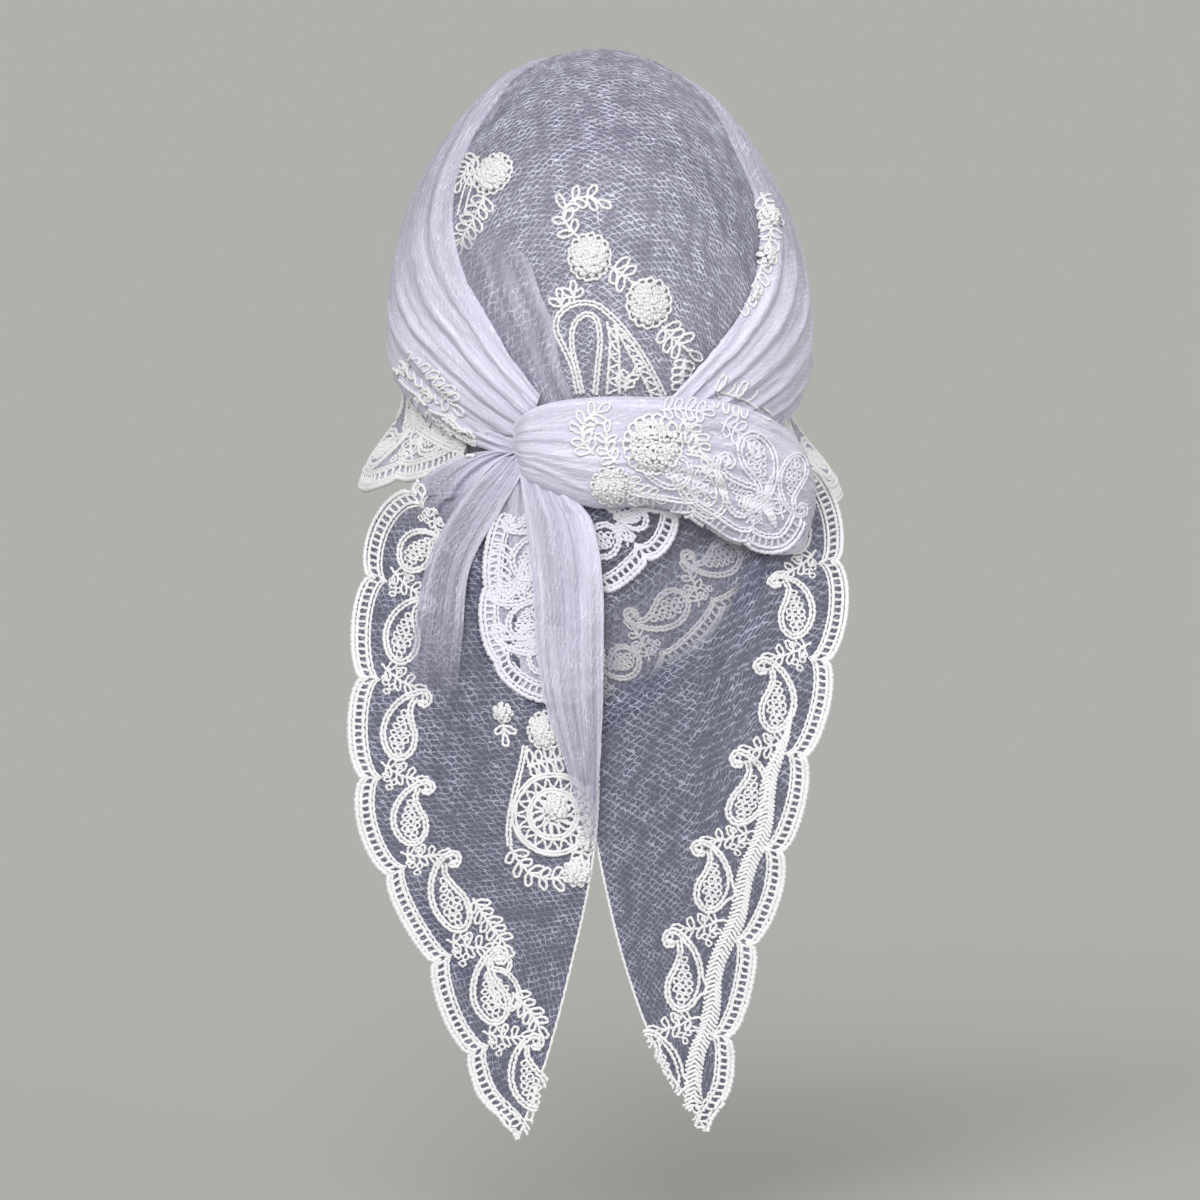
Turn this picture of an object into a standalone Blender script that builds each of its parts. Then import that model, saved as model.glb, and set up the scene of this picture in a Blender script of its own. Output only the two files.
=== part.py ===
"""A lace bandana: a triangular kerchief of crinkled net with a scalloped border, worn and knotted.

Metres, +Z up. The origin is the inside of the crown's top, where the wearer's head holds the cloth. The
back of the head, with the knot and the two tails, faces -Y, and the open face side faces +Y.
"""

import math
from collections import namedtuple

import bmesh
import bpy
from mathutils import Vector

# General head form that the cloth is worn on: a half width, a back and a front depth, and the height from the
# crown's top down to the widest ring.
HEAD_HALF_WIDTH = 0.0915
HEAD_BACK = 0.104
HEAD_FRONT = 0.100
HEAD_RISE = 0.1385
LOWER_RING_POLAR = 106

# Walls and gaps
NET_WALL = 0.0012
GATHER_WALL = 0.0016
LACE_WALL = 0.0018
ROSETTE_RISE = 0.0022
SEAM_GAP = 0.0005
BORDER_GAP = 0.0012
HEM_GAP = 0.0010
MERGE_DISTANCE = 0.000001

# How far each layer lies outside the head form
FLAP_LIFT = 0.0017
ROLL_LIFT = 0.0025
RIGHT_TAIL_LIFT = 0.0046
LEFT_TAIL_LIFT = 0.0072
TAIL_TOP_LIFT = 0.0073
WRAP_LIFT = 0.0096
FOLD_LIFT = 0.0122

# Scalloped border
BORDER_WIDTH = 0.028
BORDER_TOP_SHARE = 0.45
BORDER_OPENS_AT = 0.6
BORDER_OPENS_OVER = 0.2
SCALLOP_PITCH = 0.046
SCALLOP_DEPTH = 0.0060
CORNER_BORDER_DROP = 0.036
LACE_STEPS_ACROSS = 2
STEPS_PER_SCALLOP = 6

# Crown panel: the polar angle of its rim, counted from the crown's top, for each side azimuth in degrees.
# Azimuth 0 is the back of the head and 180 the forehead.
Rim = namedtuple("Rim", "azimuth polar")
CROWN_RIM = (
    Rim(0, LOWER_RING_POLAR),
    Rim(50, LOWER_RING_POLAR),
    Rim(72, LOWER_RING_POLAR),
    Rim(90, 104),
    Rim(108, 97),
    Rim(120, 84),
    Rim(135, 68),
    Rim(150, 57),
    Rim(165, 51),
    Rim(180, 49),
)
CROWN_RINGS = 12
BACK_AZIMUTH_STEP = 6
FRONT_AZIMUTH_STEP = 12
BACK_AZIMUTH_LIMIT = 84
CROWN_FOLD_AZIMUTH = -10.5
CROWN_FOLD_WIDTH = 4.5
CROWN_FOLD_HEIGHT = 0.0022
CROWN_FOLD_TOP = 68
CROWN_FOLD_FULL = 92

# Side rolls: from the forehead to the knot, where the long hem (inner) and the folded side (outer) run, and
# how far the cloth stands off between them.
RollRow = namedtuple("RollRow", "along inner_azimuth inner_polar outer_azimuth outer_polar stand seat")
LEFT_ROLL = (
    RollRow(0.00, 179.2, 13.0, 179.6, 49.5, 0.0000, 0.0000),
    RollRow(0.10, 130, 13.5, 163, 52.0, 0.0004, 0.0000),
    RollRow(0.20, 92, 18.5, 146, 60.0, 0.0012, 0.0004),
    RollRow(0.32, 66, 33.5, 128, 75.5, 0.0026, 0.0010),
    RollRow(0.46, 60.5, 53.0, 109, 90.0, 0.0040, 0.0018),
    RollRow(0.60, 54, 65.0, 92, 96.0, 0.0045, 0.0022),
    RollRow(0.72, 44, 75.5, 74, 99.5, 0.0042, 0.0024),
    RollRow(0.83, 34.5, 83.0, 55, 104.5, 0.0034, 0.0026),
    RollRow(0.92, 25, 91.0, 37, 109.0, 0.0025, 0.0046),
    RollRow(1.00, 15.5, 98.5, 21, 112.0, 0.0012, 0.0066),
)
RIGHT_ROLL = (
    RollRow(0.00, 179.2, 13.0, 179.6, 49.5, 0.0000, 0.0000),
    RollRow(0.10, 117, 20.0, 163, 52.0, 0.0004, 0.0000),
    RollRow(0.20, 88, 31.0, 146, 60.0, 0.0014, 0.0004),
    RollRow(0.32, 69, 46.0, 128, 76.0, 0.0030, 0.0010),
    RollRow(0.46, 66, 60.0, 109, 93.5, 0.0048, 0.0018),
    RollRow(0.60, 60.5, 70.0, 92, 100.0, 0.0065, 0.0022),
    RollRow(0.72, 52, 79.0, 74, 104.0, 0.0060, 0.0024),
    RollRow(0.83, 40, 87.0, 56, 107.5, 0.0042, 0.0026),
    RollRow(0.92, 29, 93.0, 40, 110.0, 0.0028, 0.0050),
    RollRow(1.00, 19, 99.0, 24, 112.0, 0.0012, 0.0074),
)
ROLL_STEPS_ALONG = 16
ROLL_STEPS_ACROSS = 18
ROLL_FLATNESS = 0.7
ROLL_SEAT_START = 0.75
ROLL_INNER_SEAT = 0.35

# A fold is a soft ridge that runs along a piece, across from one side at its start to its end. It rises over
# FOLD_RISE of the length, falls over FOLD_FALL, and keeps FOLD_END_SHARE of that fall at its end.
Fold = namedtuple("Fold", "across_start across_end width height begin end")
FOLD_RISE = 0.15
FOLD_FALL = 0.20
FOLD_END_SHARE = 0.35
LEFT_ROLL_FOLDS = (
    Fold(0.06, 0.12, 0.050, 0.0020, 0.26, 1.00),
    Fold(0.22, 0.29, 0.050, 0.0015, 0.36, 1.00),
    Fold(0.41, 0.47, 0.055, 0.0022, 0.22, 1.00),
    Fold(0.60, 0.66, 0.050, 0.0016, 0.38, 1.00),
    Fold(0.81, 0.86, 0.055, 0.0020, 0.28, 1.00),
)
RIGHT_ROLL_FOLDS = (
    Fold(0.07, 0.13, 0.050, 0.0018, 0.28, 1.00),
    Fold(0.21, 0.29, 0.050, 0.0016, 0.34, 1.00),
    Fold(0.39, 0.45, 0.055, 0.0021, 0.24, 1.00),
    Fold(0.57, 0.65, 0.055, 0.0018, 0.40, 1.00),
    Fold(0.78, 0.84, 0.050, 0.0016, 0.30, 1.00),
)

# Ear flaps: for each azimuth the height of the hidden top and of the scalloped bottom, and how far it flares.
FlapRow = namedtuple("FlapRow", "azimuth top bottom flare")
LEFT_FLAP = (
    FlapRow(120, -0.132, -0.141, 0.001),
    FlapRow(114, -0.137, -0.166, 0.004),
    FlapRow(104, -0.141, -0.187, 0.010),
    FlapRow(92, -0.143, -0.199, 0.019),
    FlapRow(80, -0.149, -0.203, 0.020),
    FlapRow(66, -0.158, -0.199, 0.012),
    FlapRow(52, -0.168, -0.192, 0.002),
    FlapRow(42, -0.172, -0.186, 0.000),
)
RIGHT_FLAP = (
    FlapRow(120, -0.138, -0.148, 0.001),
    FlapRow(114, -0.143, -0.170, 0.005),
    FlapRow(104, -0.148, -0.190, 0.012),
    FlapRow(92, -0.152, -0.205, 0.022),
    FlapRow(80, -0.158, -0.209, 0.021),
    FlapRow(68, -0.166, -0.202, 0.010),
    FlapRow(58, -0.171, -0.192, 0.002),
    FlapRow(50, -0.174, -0.187, 0.000),
)
FLAP_STEPS_ALONG = 24
FLAP_STEPS_DOWN = 6
FLAP_TUCK = 0.30
FLAP_SCALLOPS = 3
FLAP_SCALLOP_DEPTH = 0.0045
FLAP_WAVES = 2.5
FLAP_WAVE_HEIGHT = 0.0018
FLAP_CALM_SHARE = 0.3

# Half width of the ring that the hanging cloth follows, for each height: close to the head at the knot, and
# nearly flat at the tips.
Ring = namedtuple("Ring", "height half_width")
HANG_RINGS = (
    Ring(-0.520, 0.600),
    Ring(-0.420, 0.460),
    Ring(-0.360, 0.340),
    Ring(-0.310, 0.230),
    Ring(-0.270, 0.165),
    Ring(-0.236, 0.130),
    Ring(-0.205, 0.114),
    Ring(-0.150, 0.110),
)
FLATTEST_SHARE = 0.02

# Knot: the band wrapped over the crossing, from the pinch on the left to the right side of the head.
WrapRow = namedtuple("WrapRow", "along x top bottom puff")
KNOT_WRAP = (
    WrapRow(0.00, -0.0310, -0.1680, -0.1930, 0.0010),
    WrapRow(0.10, -0.0200, -0.1625, -0.2040, 0.0080),
    WrapRow(0.24, -0.0020, -0.1600, -0.2110, 0.0115),
    WrapRow(0.44, 0.0250, -0.1600, -0.2100, 0.0120),
    WrapRow(0.64, 0.0520, -0.1615, -0.2210, 0.0105),
    WrapRow(0.82, 0.0770, -0.1700, -0.2330, 0.0085),
    WrapRow(0.93, 0.0925, -0.1830, -0.2330, 0.0055),
    WrapRow(1.00, 0.0995, -0.1990, -0.2180, 0.0010),
)
KNOT_WRAP_FOLDS = (
    Fold(0.42, 0.10, 0.060, 0.0014, 0.05, 0.95),
    Fold(0.46, 0.28, 0.055, 0.0018, 0.04, 1.00),
    Fold(0.50, 0.46, 0.055, 0.0013, 0.05, 0.90),
    Fold(0.54, 0.66, 0.060, 0.0018, 0.04, 1.00),
    Fold(0.58, 0.86, 0.055, 0.0014, 0.05, 0.95),
)
WRAP_STEPS_ALONG = 20
WRAP_STEPS_DOWN = 13

# A hanging piece: rows from the knot to the tip, each from the outer edge to the inner one, as x and z.
HangRow = namedtuple("HangRow", "along outer_x outer_z inner_x inner_z")
CENTRE_FOLD = (
    HangRow(0.00, -0.0430, -0.1975, -0.0290, -0.1965),
    HangRow(0.08, -0.0480, -0.2060, -0.0180, -0.2075),
    HangRow(0.16, -0.0510, -0.2180, -0.0030, -0.2145),
    HangRow(0.28, -0.0525, -0.2350, 0.0015, -0.2330),
    HangRow(0.50, -0.0510, -0.2750, 0.0015, -0.2750),
    HangRow(0.66, -0.0440, -0.3030, 0.0010, -0.3050),
    HangRow(0.80, -0.0270, -0.3270, 0.0005, -0.3290),
    HangRow(0.90, -0.0150, -0.3450, 0.0000, -0.3460),
    HangRow(1.00, -0.0075, -0.3660, -0.0015, -0.3665),
)
CENTRE_FOLD_FOLDS = (
    Fold(0.14, 0.20, 0.070, 0.0022, 0.02, 0.95),
    Fold(0.36, 0.42, 0.070, 0.0030, 0.02, 1.00),
    Fold(0.60, 0.58, 0.075, 0.0026, 0.02, 1.00),
    Fold(0.84, 0.78, 0.070, 0.0030, 0.02, 1.00),
)
LEFT_TAIL = (
    HangRow(0.00, -0.0440, -0.1870, -0.0270, -0.1860),
    HangRow(0.08, -0.0680, -0.1970, -0.0230, -0.2010),
    HangRow(0.16, -0.0910, -0.2110, -0.0160, -0.2200),
    HangRow(0.26, -0.1040, -0.2380, -0.0070, -0.2490),
    HangRow(0.40, -0.1085, -0.2850, -0.0010, -0.2950),
    HangRow(0.55, -0.1080, -0.3380, 0.0000, -0.3450),
    HangRow(0.66, -0.1000, -0.3720, -0.0030, -0.3780),
    HangRow(0.78, -0.0790, -0.4120, -0.0105, -0.4150),
    HangRow(0.90, -0.0590, -0.4620, -0.0230, -0.4640),
    HangRow(1.00, -0.0380, -0.5050, -0.0372, -0.5052),
)
LEFT_TAIL_FOLDS = (
    Fold(0.24, 0.20, 0.045, 0.0018, 0.03, 0.60),
    Fold(0.38, 0.34, 0.045, 0.0026, 0.03, 0.75),
    Fold(0.52, 0.46, 0.045, 0.0022, 0.03, 0.62),
    Fold(0.68, 0.66, 0.050, 0.0024, 0.03, 0.70),
    Fold(0.88, 0.86, 0.050, 0.0020, 0.03, 0.80),
)
RIGHT_TAIL = (
    HangRow(0.00, 0.0985, -0.1960, -0.0070, -0.2060),
    HangRow(0.10, 0.1075, -0.2220, -0.0090, -0.2320),
    HangRow(0.20, 0.1105, -0.2500, -0.0100, -0.2620),
    HangRow(0.35, 0.1035, -0.2920, -0.0090, -0.3050),
    HangRow(0.50, 0.0925, -0.3350, -0.0035, -0.3500),
    HangRow(0.65, 0.0805, -0.3830, 0.0045, -0.3920),
    HangRow(0.80, 0.0665, -0.4270, 0.0145, -0.4300),
    HangRow(0.90, 0.0585, -0.4630, 0.0270, -0.4620),
    HangRow(1.00, 0.0515, -0.5015, 0.0507, -0.5018),
)
RIGHT_TAIL_FOLDS = (
    Fold(0.30, 0.26, 0.060, 0.0016, 0.12, 0.70),
    Fold(0.52, 0.50, 0.070, 0.0022, 0.15, 0.85),
    Fold(0.76, 0.72, 0.060, 0.0018, 0.12, 0.75),
)
TAIL_STEPS_DOWN = 18
LEFT_TAIL_STEPS_ACROSS = 14
RIGHT_TAIL_STEPS_ACROSS = 11
FOLD_STEPS_DOWN = 14
FOLD_STEPS_ACROSS = 13
EDGE_STEPS = 24
TAIL_ROW_CROWDING = 1.4
SEATED_LENGTH = 0.12
NARROWEST_TAIL = BORDER_WIDTH / 2
TIP_CALM_SHARE = 0.06
NET_END_SHARE = 0.93
NET_END_STEPS = 200

# Back corner of the triangle: the height of its scalloped edge for each x.
CornerRow = namedtuple("CornerRow", "x bottom")
BACK_CORNER = (
    CornerRow(-0.080, -0.228),
    CornerRow(-0.060, -0.260),
    CornerRow(-0.040, -0.289),
    CornerRow(-0.020, -0.306),
    CornerRow(-0.004, -0.3125),
    CornerRow(0.012, -0.305),
    CornerRow(0.024, -0.295),
    CornerRow(0.046, -0.270),
    CornerRow(0.0745, -0.244),
    CornerRow(0.080, -0.238),
)
CORNER_STEPS_ACROSS = 21
CORNER_STEPS_DOWN = 7
CORNER_BLEND_START = -0.197
CORNER_BLEND_DEPTH = 0.055
CORNER_SCALLOPS = 7
CORNER_SEAM_DROP = 0.004

# Rosettes: centre and radius. On the crown by azimuth and polar angle, on the knot by the wrap's own u and v.
Rosette = namedtuple("Rosette", "name along across radius")
CROWN_ROSETTES = (
    Rosette("rosette_crown_left", -42.0, 54.5, 0.0105),
    Rosette("rosette_crown_middle", -2.6, 72.3, 0.0110),
    Rosette("rosette_crown_right", 14.8, 81.2, 0.0120),
)
KNOT_ROSETTES = (
    Rosette("rosette_knot_large", 0.430, 0.42, 0.0135),
    Rosette("rosette_knot_small", 0.290, 0.76, 0.0090),
)
ROSETTE_SIDES = 12
ROSETTE_RINGS = 3
ROSETTE_EDGE_FALL = 0.75

# Colours of the cloth
NET_COLOUR = (0.78, 0.77, 0.88, 1.0)
GATHER_COLOUR = (0.84, 0.82, 0.93, 1.0)
LACE_COLOUR = (0.92, 0.92, 0.93, 1.0)
CLOTH_ROUGHNESS = 0.85
SHARP_ANGLE = 50

TINY_STEP = 0.001
SMALLEST_NORMAL = 1e-12
BACKWARDS = Vector((0.0, -1.0, 0.0))


def smooth_step(value):
    """0 below 0, 1 above 1, and a soft rise between."""
    value = min(1.0, max(0.0, value))
    return value * value * (3.0 - 2.0 * value)


def row_at(rows, key):
    """The row of a table at a value of its first column, on a smooth curve through the rows."""
    keys = [row[0] for row in rows]
    key = min(max(key, keys[0]), keys[-1])
    index = max(i for i in range(len(rows) - 1) if keys[i] <= key or i == 0)
    before, start = rows[max(index - 1, 0)], rows[index]
    end, after = rows[index + 1], rows[min(index + 2, len(rows) - 1)]
    span = end[0] - start[0]
    part = (key - start[0]) / span
    values = [key]
    for column in range(1, len(start)):
        slope_start = (end[column] - before[column]) / (end[0] - before[0]) * span
        slope_end = (after[column] - start[column]) / (after[0] - start[0]) * span
        values.append(
            (2 * part**3 - 3 * part**2 + 1) * start[column]
            + (part**3 - 2 * part**2 + part) * slope_start
            + (3 * part**2 - 2 * part**3) * end[column]
            + (part**3 - part**2) * slope_end
        )
    return type(start)(*values)


def steps(count, start=0.0, end=1.0):
    """count + 1 even values from start to end."""
    return [start + (end - start) * i / count for i in range(count + 1)]


def fold_height(folds, along, across):
    """How far a piece's folds stand out at a place on it."""
    height = 0.0
    for fold in folds:
        centre = fold.across_start + (fold.across_end - fold.across_start) * along
        rise = smooth_step((along - fold.begin) / FOLD_RISE)
        fall = smooth_step((fold.end - along) / FOLD_FALL + FOLD_END_SHARE)
        height += fold.height * rise * fall * math.exp(-(((across - centre) / fold.width) ** 2))
    return height


def scallop(turns):
    """A round scallop, 0 in the notches and 1 in the middle, for a position counted in scallops."""
    return math.sqrt(max(0.0, 1.0 - (2.0 * (turns % 1.0) - 1.0) ** 2))


def head_point(azimuth, polar, lift=0.0):
    """A point on the head form, moved out along its normal. Azimuth is counted from the back towards +X."""
    azimuth, polar = math.radians(azimuth), math.radians(polar)
    depth = HEAD_BACK if math.cos(azimuth) >= 0 else HEAD_FRONT
    unit = Vector(
        (math.sin(polar) * math.sin(azimuth), -math.sin(polar) * math.cos(azimuth), math.cos(polar))
    )
    point = Vector((unit.x * HEAD_HALF_WIDTH, unit.y * depth, (unit.z - 1.0) * HEAD_RISE))
    normal = Vector((unit.x / HEAD_HALF_WIDTH, unit.y / depth, unit.z / HEAD_RISE)).normalized()
    return point + normal * lift


def lower_ring_share():
    """The width of the head form's lower ring as a share of its widest ring."""
    return math.sin(math.radians(LOWER_RING_POLAR))


def skirt_point(azimuth, height, lift=0.0):
    """A point straight below the head form's lower ring, moved out."""
    azimuth = math.radians(azimuth)
    depth = HEAD_BACK if math.cos(azimuth) >= 0 else HEAD_FRONT
    x = (HEAD_HALF_WIDTH * lower_ring_share() + lift) * math.sin(azimuth)
    y = -(depth * lower_ring_share() + lift) * math.cos(azimuth)
    return Vector((x, y, height))


def cloth_point(azimuth, polar, lift):
    """A point on the head form, or straight below its lower ring."""
    if polar <= LOWER_RING_POLAR:
        return head_point(azimuth, polar, lift)
    return skirt_point(azimuth, head_point(azimuth, polar).z, lift)


def hang_point(x, z, lift):
    """A point of cloth that hangs behind the head, on a ring that flattens towards the tips."""
    half_width = row_at(HANG_RINGS, z).half_width + lift
    depth = (HEAD_BACK + lift) * math.sqrt(max(FLATTEST_SHARE, 1.0 - (x / half_width) ** 2))
    return Vector((x, -depth, z))


def outward(point):
    """The direction away from the head's middle."""
    middle = Vector((0.0, 0.0, min(-HEAD_RISE, point.z)))
    return (point - middle).normalized()


def surface_normal(surface, u, v, fallback=None):
    """The outward normal of a surface at u and v."""
    along = surface(u + TINY_STEP, v) - surface(u - TINY_STEP, v)
    across = surface(u, v + TINY_STEP) - surface(u, v - TINY_STEP)
    normal = along.cross(across)
    out = fallback or outward(surface(u, v))
    if normal.length < SMALLEST_NORMAL:
        return out
    normal.normalize()
    return normal if normal.dot(out) > 0 else -normal


def make_material(name, colour):
    material = bpy.data.materials.new(name)
    material.use_nodes = True
    shader = material.node_tree.nodes["Principled BSDF"]
    shader.inputs["Base Color"].default_value = colour
    shader.inputs["Roughness"].default_value = CLOTH_ROUGHNESS
    shader.inputs["Metallic"].default_value = 0.0
    return material


def add_object(name, mesh_builder, material):
    """An object whose mesh is the given bmesh, closed and facing out."""
    bmesh.ops.remove_doubles(mesh_builder, verts=mesh_builder.verts, dist=MERGE_DISTANCE)
    bmesh.ops.recalc_face_normals(mesh_builder, faces=mesh_builder.faces)
    mesh = bpy.data.meshes.new(name)
    mesh_builder.to_mesh(mesh)
    mesh_builder.free()
    mesh.materials.append(material)
    mesh.shade_smooth()
    mesh.set_sharp_from_angle(angle=math.radians(SHARP_ANGLE))
    bpy.context.scene.collection.objects.link(bpy.data.objects.new(name, mesh))


def wall(name, surface, us, vs, thickness, material, wrap=False, fallback=None):
    """A closed cloth wall on a surface. thickness is a length, or a function of u and v. A wrapped wall
    closes on itself across."""
    bm = bmesh.new()
    inner, outer = [], []
    for u in us:
        inner_row, outer_row = [], []
        for v in vs:
            point = surface(u, v)
            normal = surface_normal(surface, u, v, fallback)
            depth = thickness(u, v) if callable(thickness) else thickness
            inner_row.append(bm.verts.new(point))
            outer_row.append(bm.verts.new(point + normal * depth))
        inner.append(inner_row)
        outer.append(outer_row)
    count = len(vs)
    spans = [(j, (j + 1) % count) for j in range(count if wrap else count - 1)]
    for i in range(len(us) - 1):
        for j, k in spans:
            bm.faces.new((outer[i][j], outer[i][k], outer[i + 1][k], outer[i + 1][j]))
            bm.faces.new((inner[i][j], inner[i + 1][j], inner[i + 1][k], inner[i][k]))
    for j, k in spans:
        bm.faces.new((outer[-1][j], outer[-1][k], inner[-1][k], inner[-1][j]))
        if not wrap:
            bm.faces.new((outer[0][k], outer[0][j], inner[0][j], inner[0][k]))
    if not wrap:
        for i in range(len(us) - 1):
            bm.faces.new((outer[i][0], outer[i + 1][0], inner[i + 1][0], inner[i][0]))
            bm.faces.new((outer[i + 1][-1], outer[i][-1], inner[i][-1], inner[i + 1][-1]))
    add_object(name, bm, material)


def crown_rim(azimuth):
    return row_at(CROWN_RIM, abs(azimuth)).polar


def crown_surface(ring, azimuth):
    """ring runs from 0 at the crown's top to 1 at the rim."""
    azimuth = (azimuth + 180.0) % 360.0 - 180.0
    polar = ring * crown_rim(azimuth)
    down = smooth_step((polar - CROWN_FOLD_TOP) / (CROWN_FOLD_FULL - CROWN_FOLD_TOP))
    fold = CROWN_FOLD_HEIGHT * down * math.exp(-(((azimuth - CROWN_FOLD_AZIMUTH) / CROWN_FOLD_WIDTH) ** 2))
    return head_point(azimuth, polar, fold)


def crown_azimuths():
    """Close together at the back, where folds show, and wider round the sides and front."""
    back = range(-BACK_AZIMUTH_LIMIT, BACK_AZIMUTH_LIMIT + 1, BACK_AZIMUTH_STEP)
    front = range(BACK_AZIMUTH_LIMIT + FRONT_AZIMUTH_STEP, 360 - BACK_AZIMUTH_LIMIT, FRONT_AZIMUTH_STEP)
    return list(back) + list(front)


def make_crown(material):
    wall("crown_panel", crown_surface, steps(CROWN_RINGS), crown_azimuths(), NET_WALL, material, wrap=True)


def roll_surface(rows, folds, side):
    """side is 1 for the right roll and -1 for the left one."""

    def surface(along, across):
        row = row_at(rows, along)
        azimuth = row.inner_azimuth + (row.outer_azimuth - row.inner_azimuth) * across
        polar = row.inner_polar + (row.outer_polar - row.inner_polar) * across
        bulge = math.sin(math.pi * min(1.0, max(0.0, across))) ** ROLL_FLATNESS
        near_knot = smooth_step((along - ROLL_SEAT_START) / (1.0 - ROLL_SEAT_START))
        seated = ROLL_INNER_SEAT + (1.0 - ROLL_INNER_SEAT) * max(smooth_step(across), near_knot)
        stand = row.stand * bulge + row.seat * seated
        lift = ROLL_LIFT + stand + fold_height(folds, along, across)
        return cloth_point(side * azimuth, polar, lift)

    return surface


def make_rolls(material):
    for name, rows, folds, side in (
        ("left_roll", LEFT_ROLL, LEFT_ROLL_FOLDS, -1),
        ("right_roll", RIGHT_ROLL, RIGHT_ROLL_FOLDS, 1),
    ):
        surface = roll_surface(rows, folds, side)
        wall(name, surface, steps(ROLL_STEPS_ALONG), steps(ROLL_STEPS_ACROSS), GATHER_WALL, material)


def flap_surface(rows, side):
    """along runs forwards from the knot side, down from the hidden top to the scallops."""
    first, last = rows[0].azimuth, rows[-1].azimuth
    by_azimuth = tuple(sorted(rows))

    def surface(along, down):
        azimuth = last + (first - last) * along
        row = row_at(by_azimuth, azimuth)
        scallops = FLAP_SCALLOP_DEPTH * scallop(along * FLAP_SCALLOPS) * smooth_step(down)
        height = row.top + (row.bottom - row.top) * down - scallops
        free = smooth_step((down - FLAP_TUCK) / (1.0 - FLAP_TUCK))
        wave = FLAP_WAVE_HEIGHT * math.sin(2.0 * math.pi * FLAP_WAVES * along)
        wave *= free * smooth_step(along / FLAP_CALM_SHARE)
        polar = math.degrees(math.acos(max(-1.0, 1.0 + height / HEAD_RISE)))
        return cloth_point(side * azimuth, polar, FLAP_LIFT + row.flare * free + wave)

    return surface


def make_flaps(material):
    for name, rows, side in (("left_ear_flap", LEFT_FLAP, -1), ("right_ear_flap", RIGHT_FLAP, 1)):
        surface = flap_surface(rows, side)
        wall(name, surface, steps(FLAP_STEPS_ALONG), steps(FLAP_STEPS_DOWN), NET_WALL, material)


def wrap_surface(along, down):
    row = row_at(KNOT_WRAP, along)
    return hang_point(row.x, row.top + (row.bottom - row.top) * down, WRAP_LIFT)


def wrap_thickness(along, down):
    row = row_at(KNOT_WRAP, along)
    rounded = math.sqrt(max(0.0, 1.0 - (2.0 * down - 1.0) ** 2))
    return GATHER_WALL + row.puff * rounded + fold_height(KNOT_WRAP_FOLDS, along, down) * rounded


def make_wrap(material):
    along, down = steps(WRAP_STEPS_ALONG), steps(WRAP_STEPS_DOWN)
    wall("knot_wrap", wrap_surface, along, down, wrap_thickness, material)


def hang_surface(rows, folds, lift, top_lift):
    """A hanging piece: along from the knot to the tip, across from the outer edge to the inner one. It is
    top_lift outside the head form in the knot, and lift below it."""

    def surface(along, across):
        row = row_at(rows, along)
        x = row.outer_x + (row.inner_x - row.outer_x) * across
        z = row.outer_z + (row.inner_z - row.outer_z) * across
        layer = top_lift + (lift - top_lift) * smooth_step(along / SEATED_LENGTH)
        return hang_point(x, z, layer + fold_height(folds, along, across))

    return surface


def row_width(rows, along):
    row = row_at(rows, along)
    return math.hypot(row.inner_x - row.outer_x, row.inner_z - row.outer_z)


def border_share(rows, along):
    """The share of a tail's width that its border takes: less in the knot's gathers, all of it at the tip."""
    opening = smooth_step((along - BORDER_OPENS_AT) / BORDER_OPENS_OVER)
    limit = BORDER_TOP_SHARE + (1.0 - BORDER_TOP_SHARE) * opening
    return min(limit, BORDER_WIDTH / max(row_width(rows, along), NARROWEST_TAIL))


def border_end(rows):
    """How far along a tail its net reaches before the border takes its whole width."""
    return max(value for value in steps(NET_END_STEPS) if border_share(rows, value) < NET_END_SHARE)


def edge_length(rows, along):
    """The length of a tail's outer edge from the knot to a place along it."""
    length, last = 0.0, rows[0]
    for value in steps(EDGE_STEPS, 0.0, along):
        row = row_at(rows, value)
        length += math.hypot(row.outer_x - last.outer_x, row.outer_z - last.outer_z)
        last = row
    return length


def make_tail_net(name, rows, folds, lift, across_steps, material):
    whole = hang_surface(rows, folds, lift, TAIL_TOP_LIFT)
    last = border_end(rows)

    def surface(along, across):
        share = border_share(rows, along) + BORDER_GAP / max(row_width(rows, along), BORDER_WIDTH)
        return whole(along, share + (1.0 - share) * across)

    alongs = [last * value**TAIL_ROW_CROWDING for value in steps(TAIL_STEPS_DOWN)]
    wall(name, surface, alongs, steps(across_steps), NET_WALL, material, fallback=BACKWARDS)


def make_tail_lace(name, rows, folds, lift, material):
    whole = hang_surface(rows, folds, lift, TAIL_TOP_LIFT)
    count = round(edge_length(rows, 1.0) / SCALLOP_PITCH)
    pitch = edge_length(rows, 1.0) / count

    def surface(along, across):
        here = edge_length(rows, along) / pitch
        out = SCALLOP_DEPTH * scallop(here) * smooth_step((1.0 - along) / TIP_CALM_SHARE)
        share = border_share(rows, along)
        width = max(row_width(rows, along), NARROWEST_TAIL)
        return whole(along, share * across - out / width * (1.0 - across))

    alongs = steps(count * STEPS_PER_SCALLOP)
    wall(name, surface, alongs, steps(LACE_STEPS_ACROSS), LACE_WALL, material, fallback=BACKWARDS)


def make_tails(net, lace):
    for name, rows, folds, lift, across_steps in (
        ("left_tail", LEFT_TAIL, LEFT_TAIL_FOLDS, LEFT_TAIL_LIFT, LEFT_TAIL_STEPS_ACROSS),
        ("right_tail", RIGHT_TAIL, RIGHT_TAIL_FOLDS, RIGHT_TAIL_LIFT, RIGHT_TAIL_STEPS_ACROSS),
    ):
        make_tail_net(name, rows, folds, lift, across_steps, net)
        make_tail_lace(name + "_lace", rows, folds, lift, lace)


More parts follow.
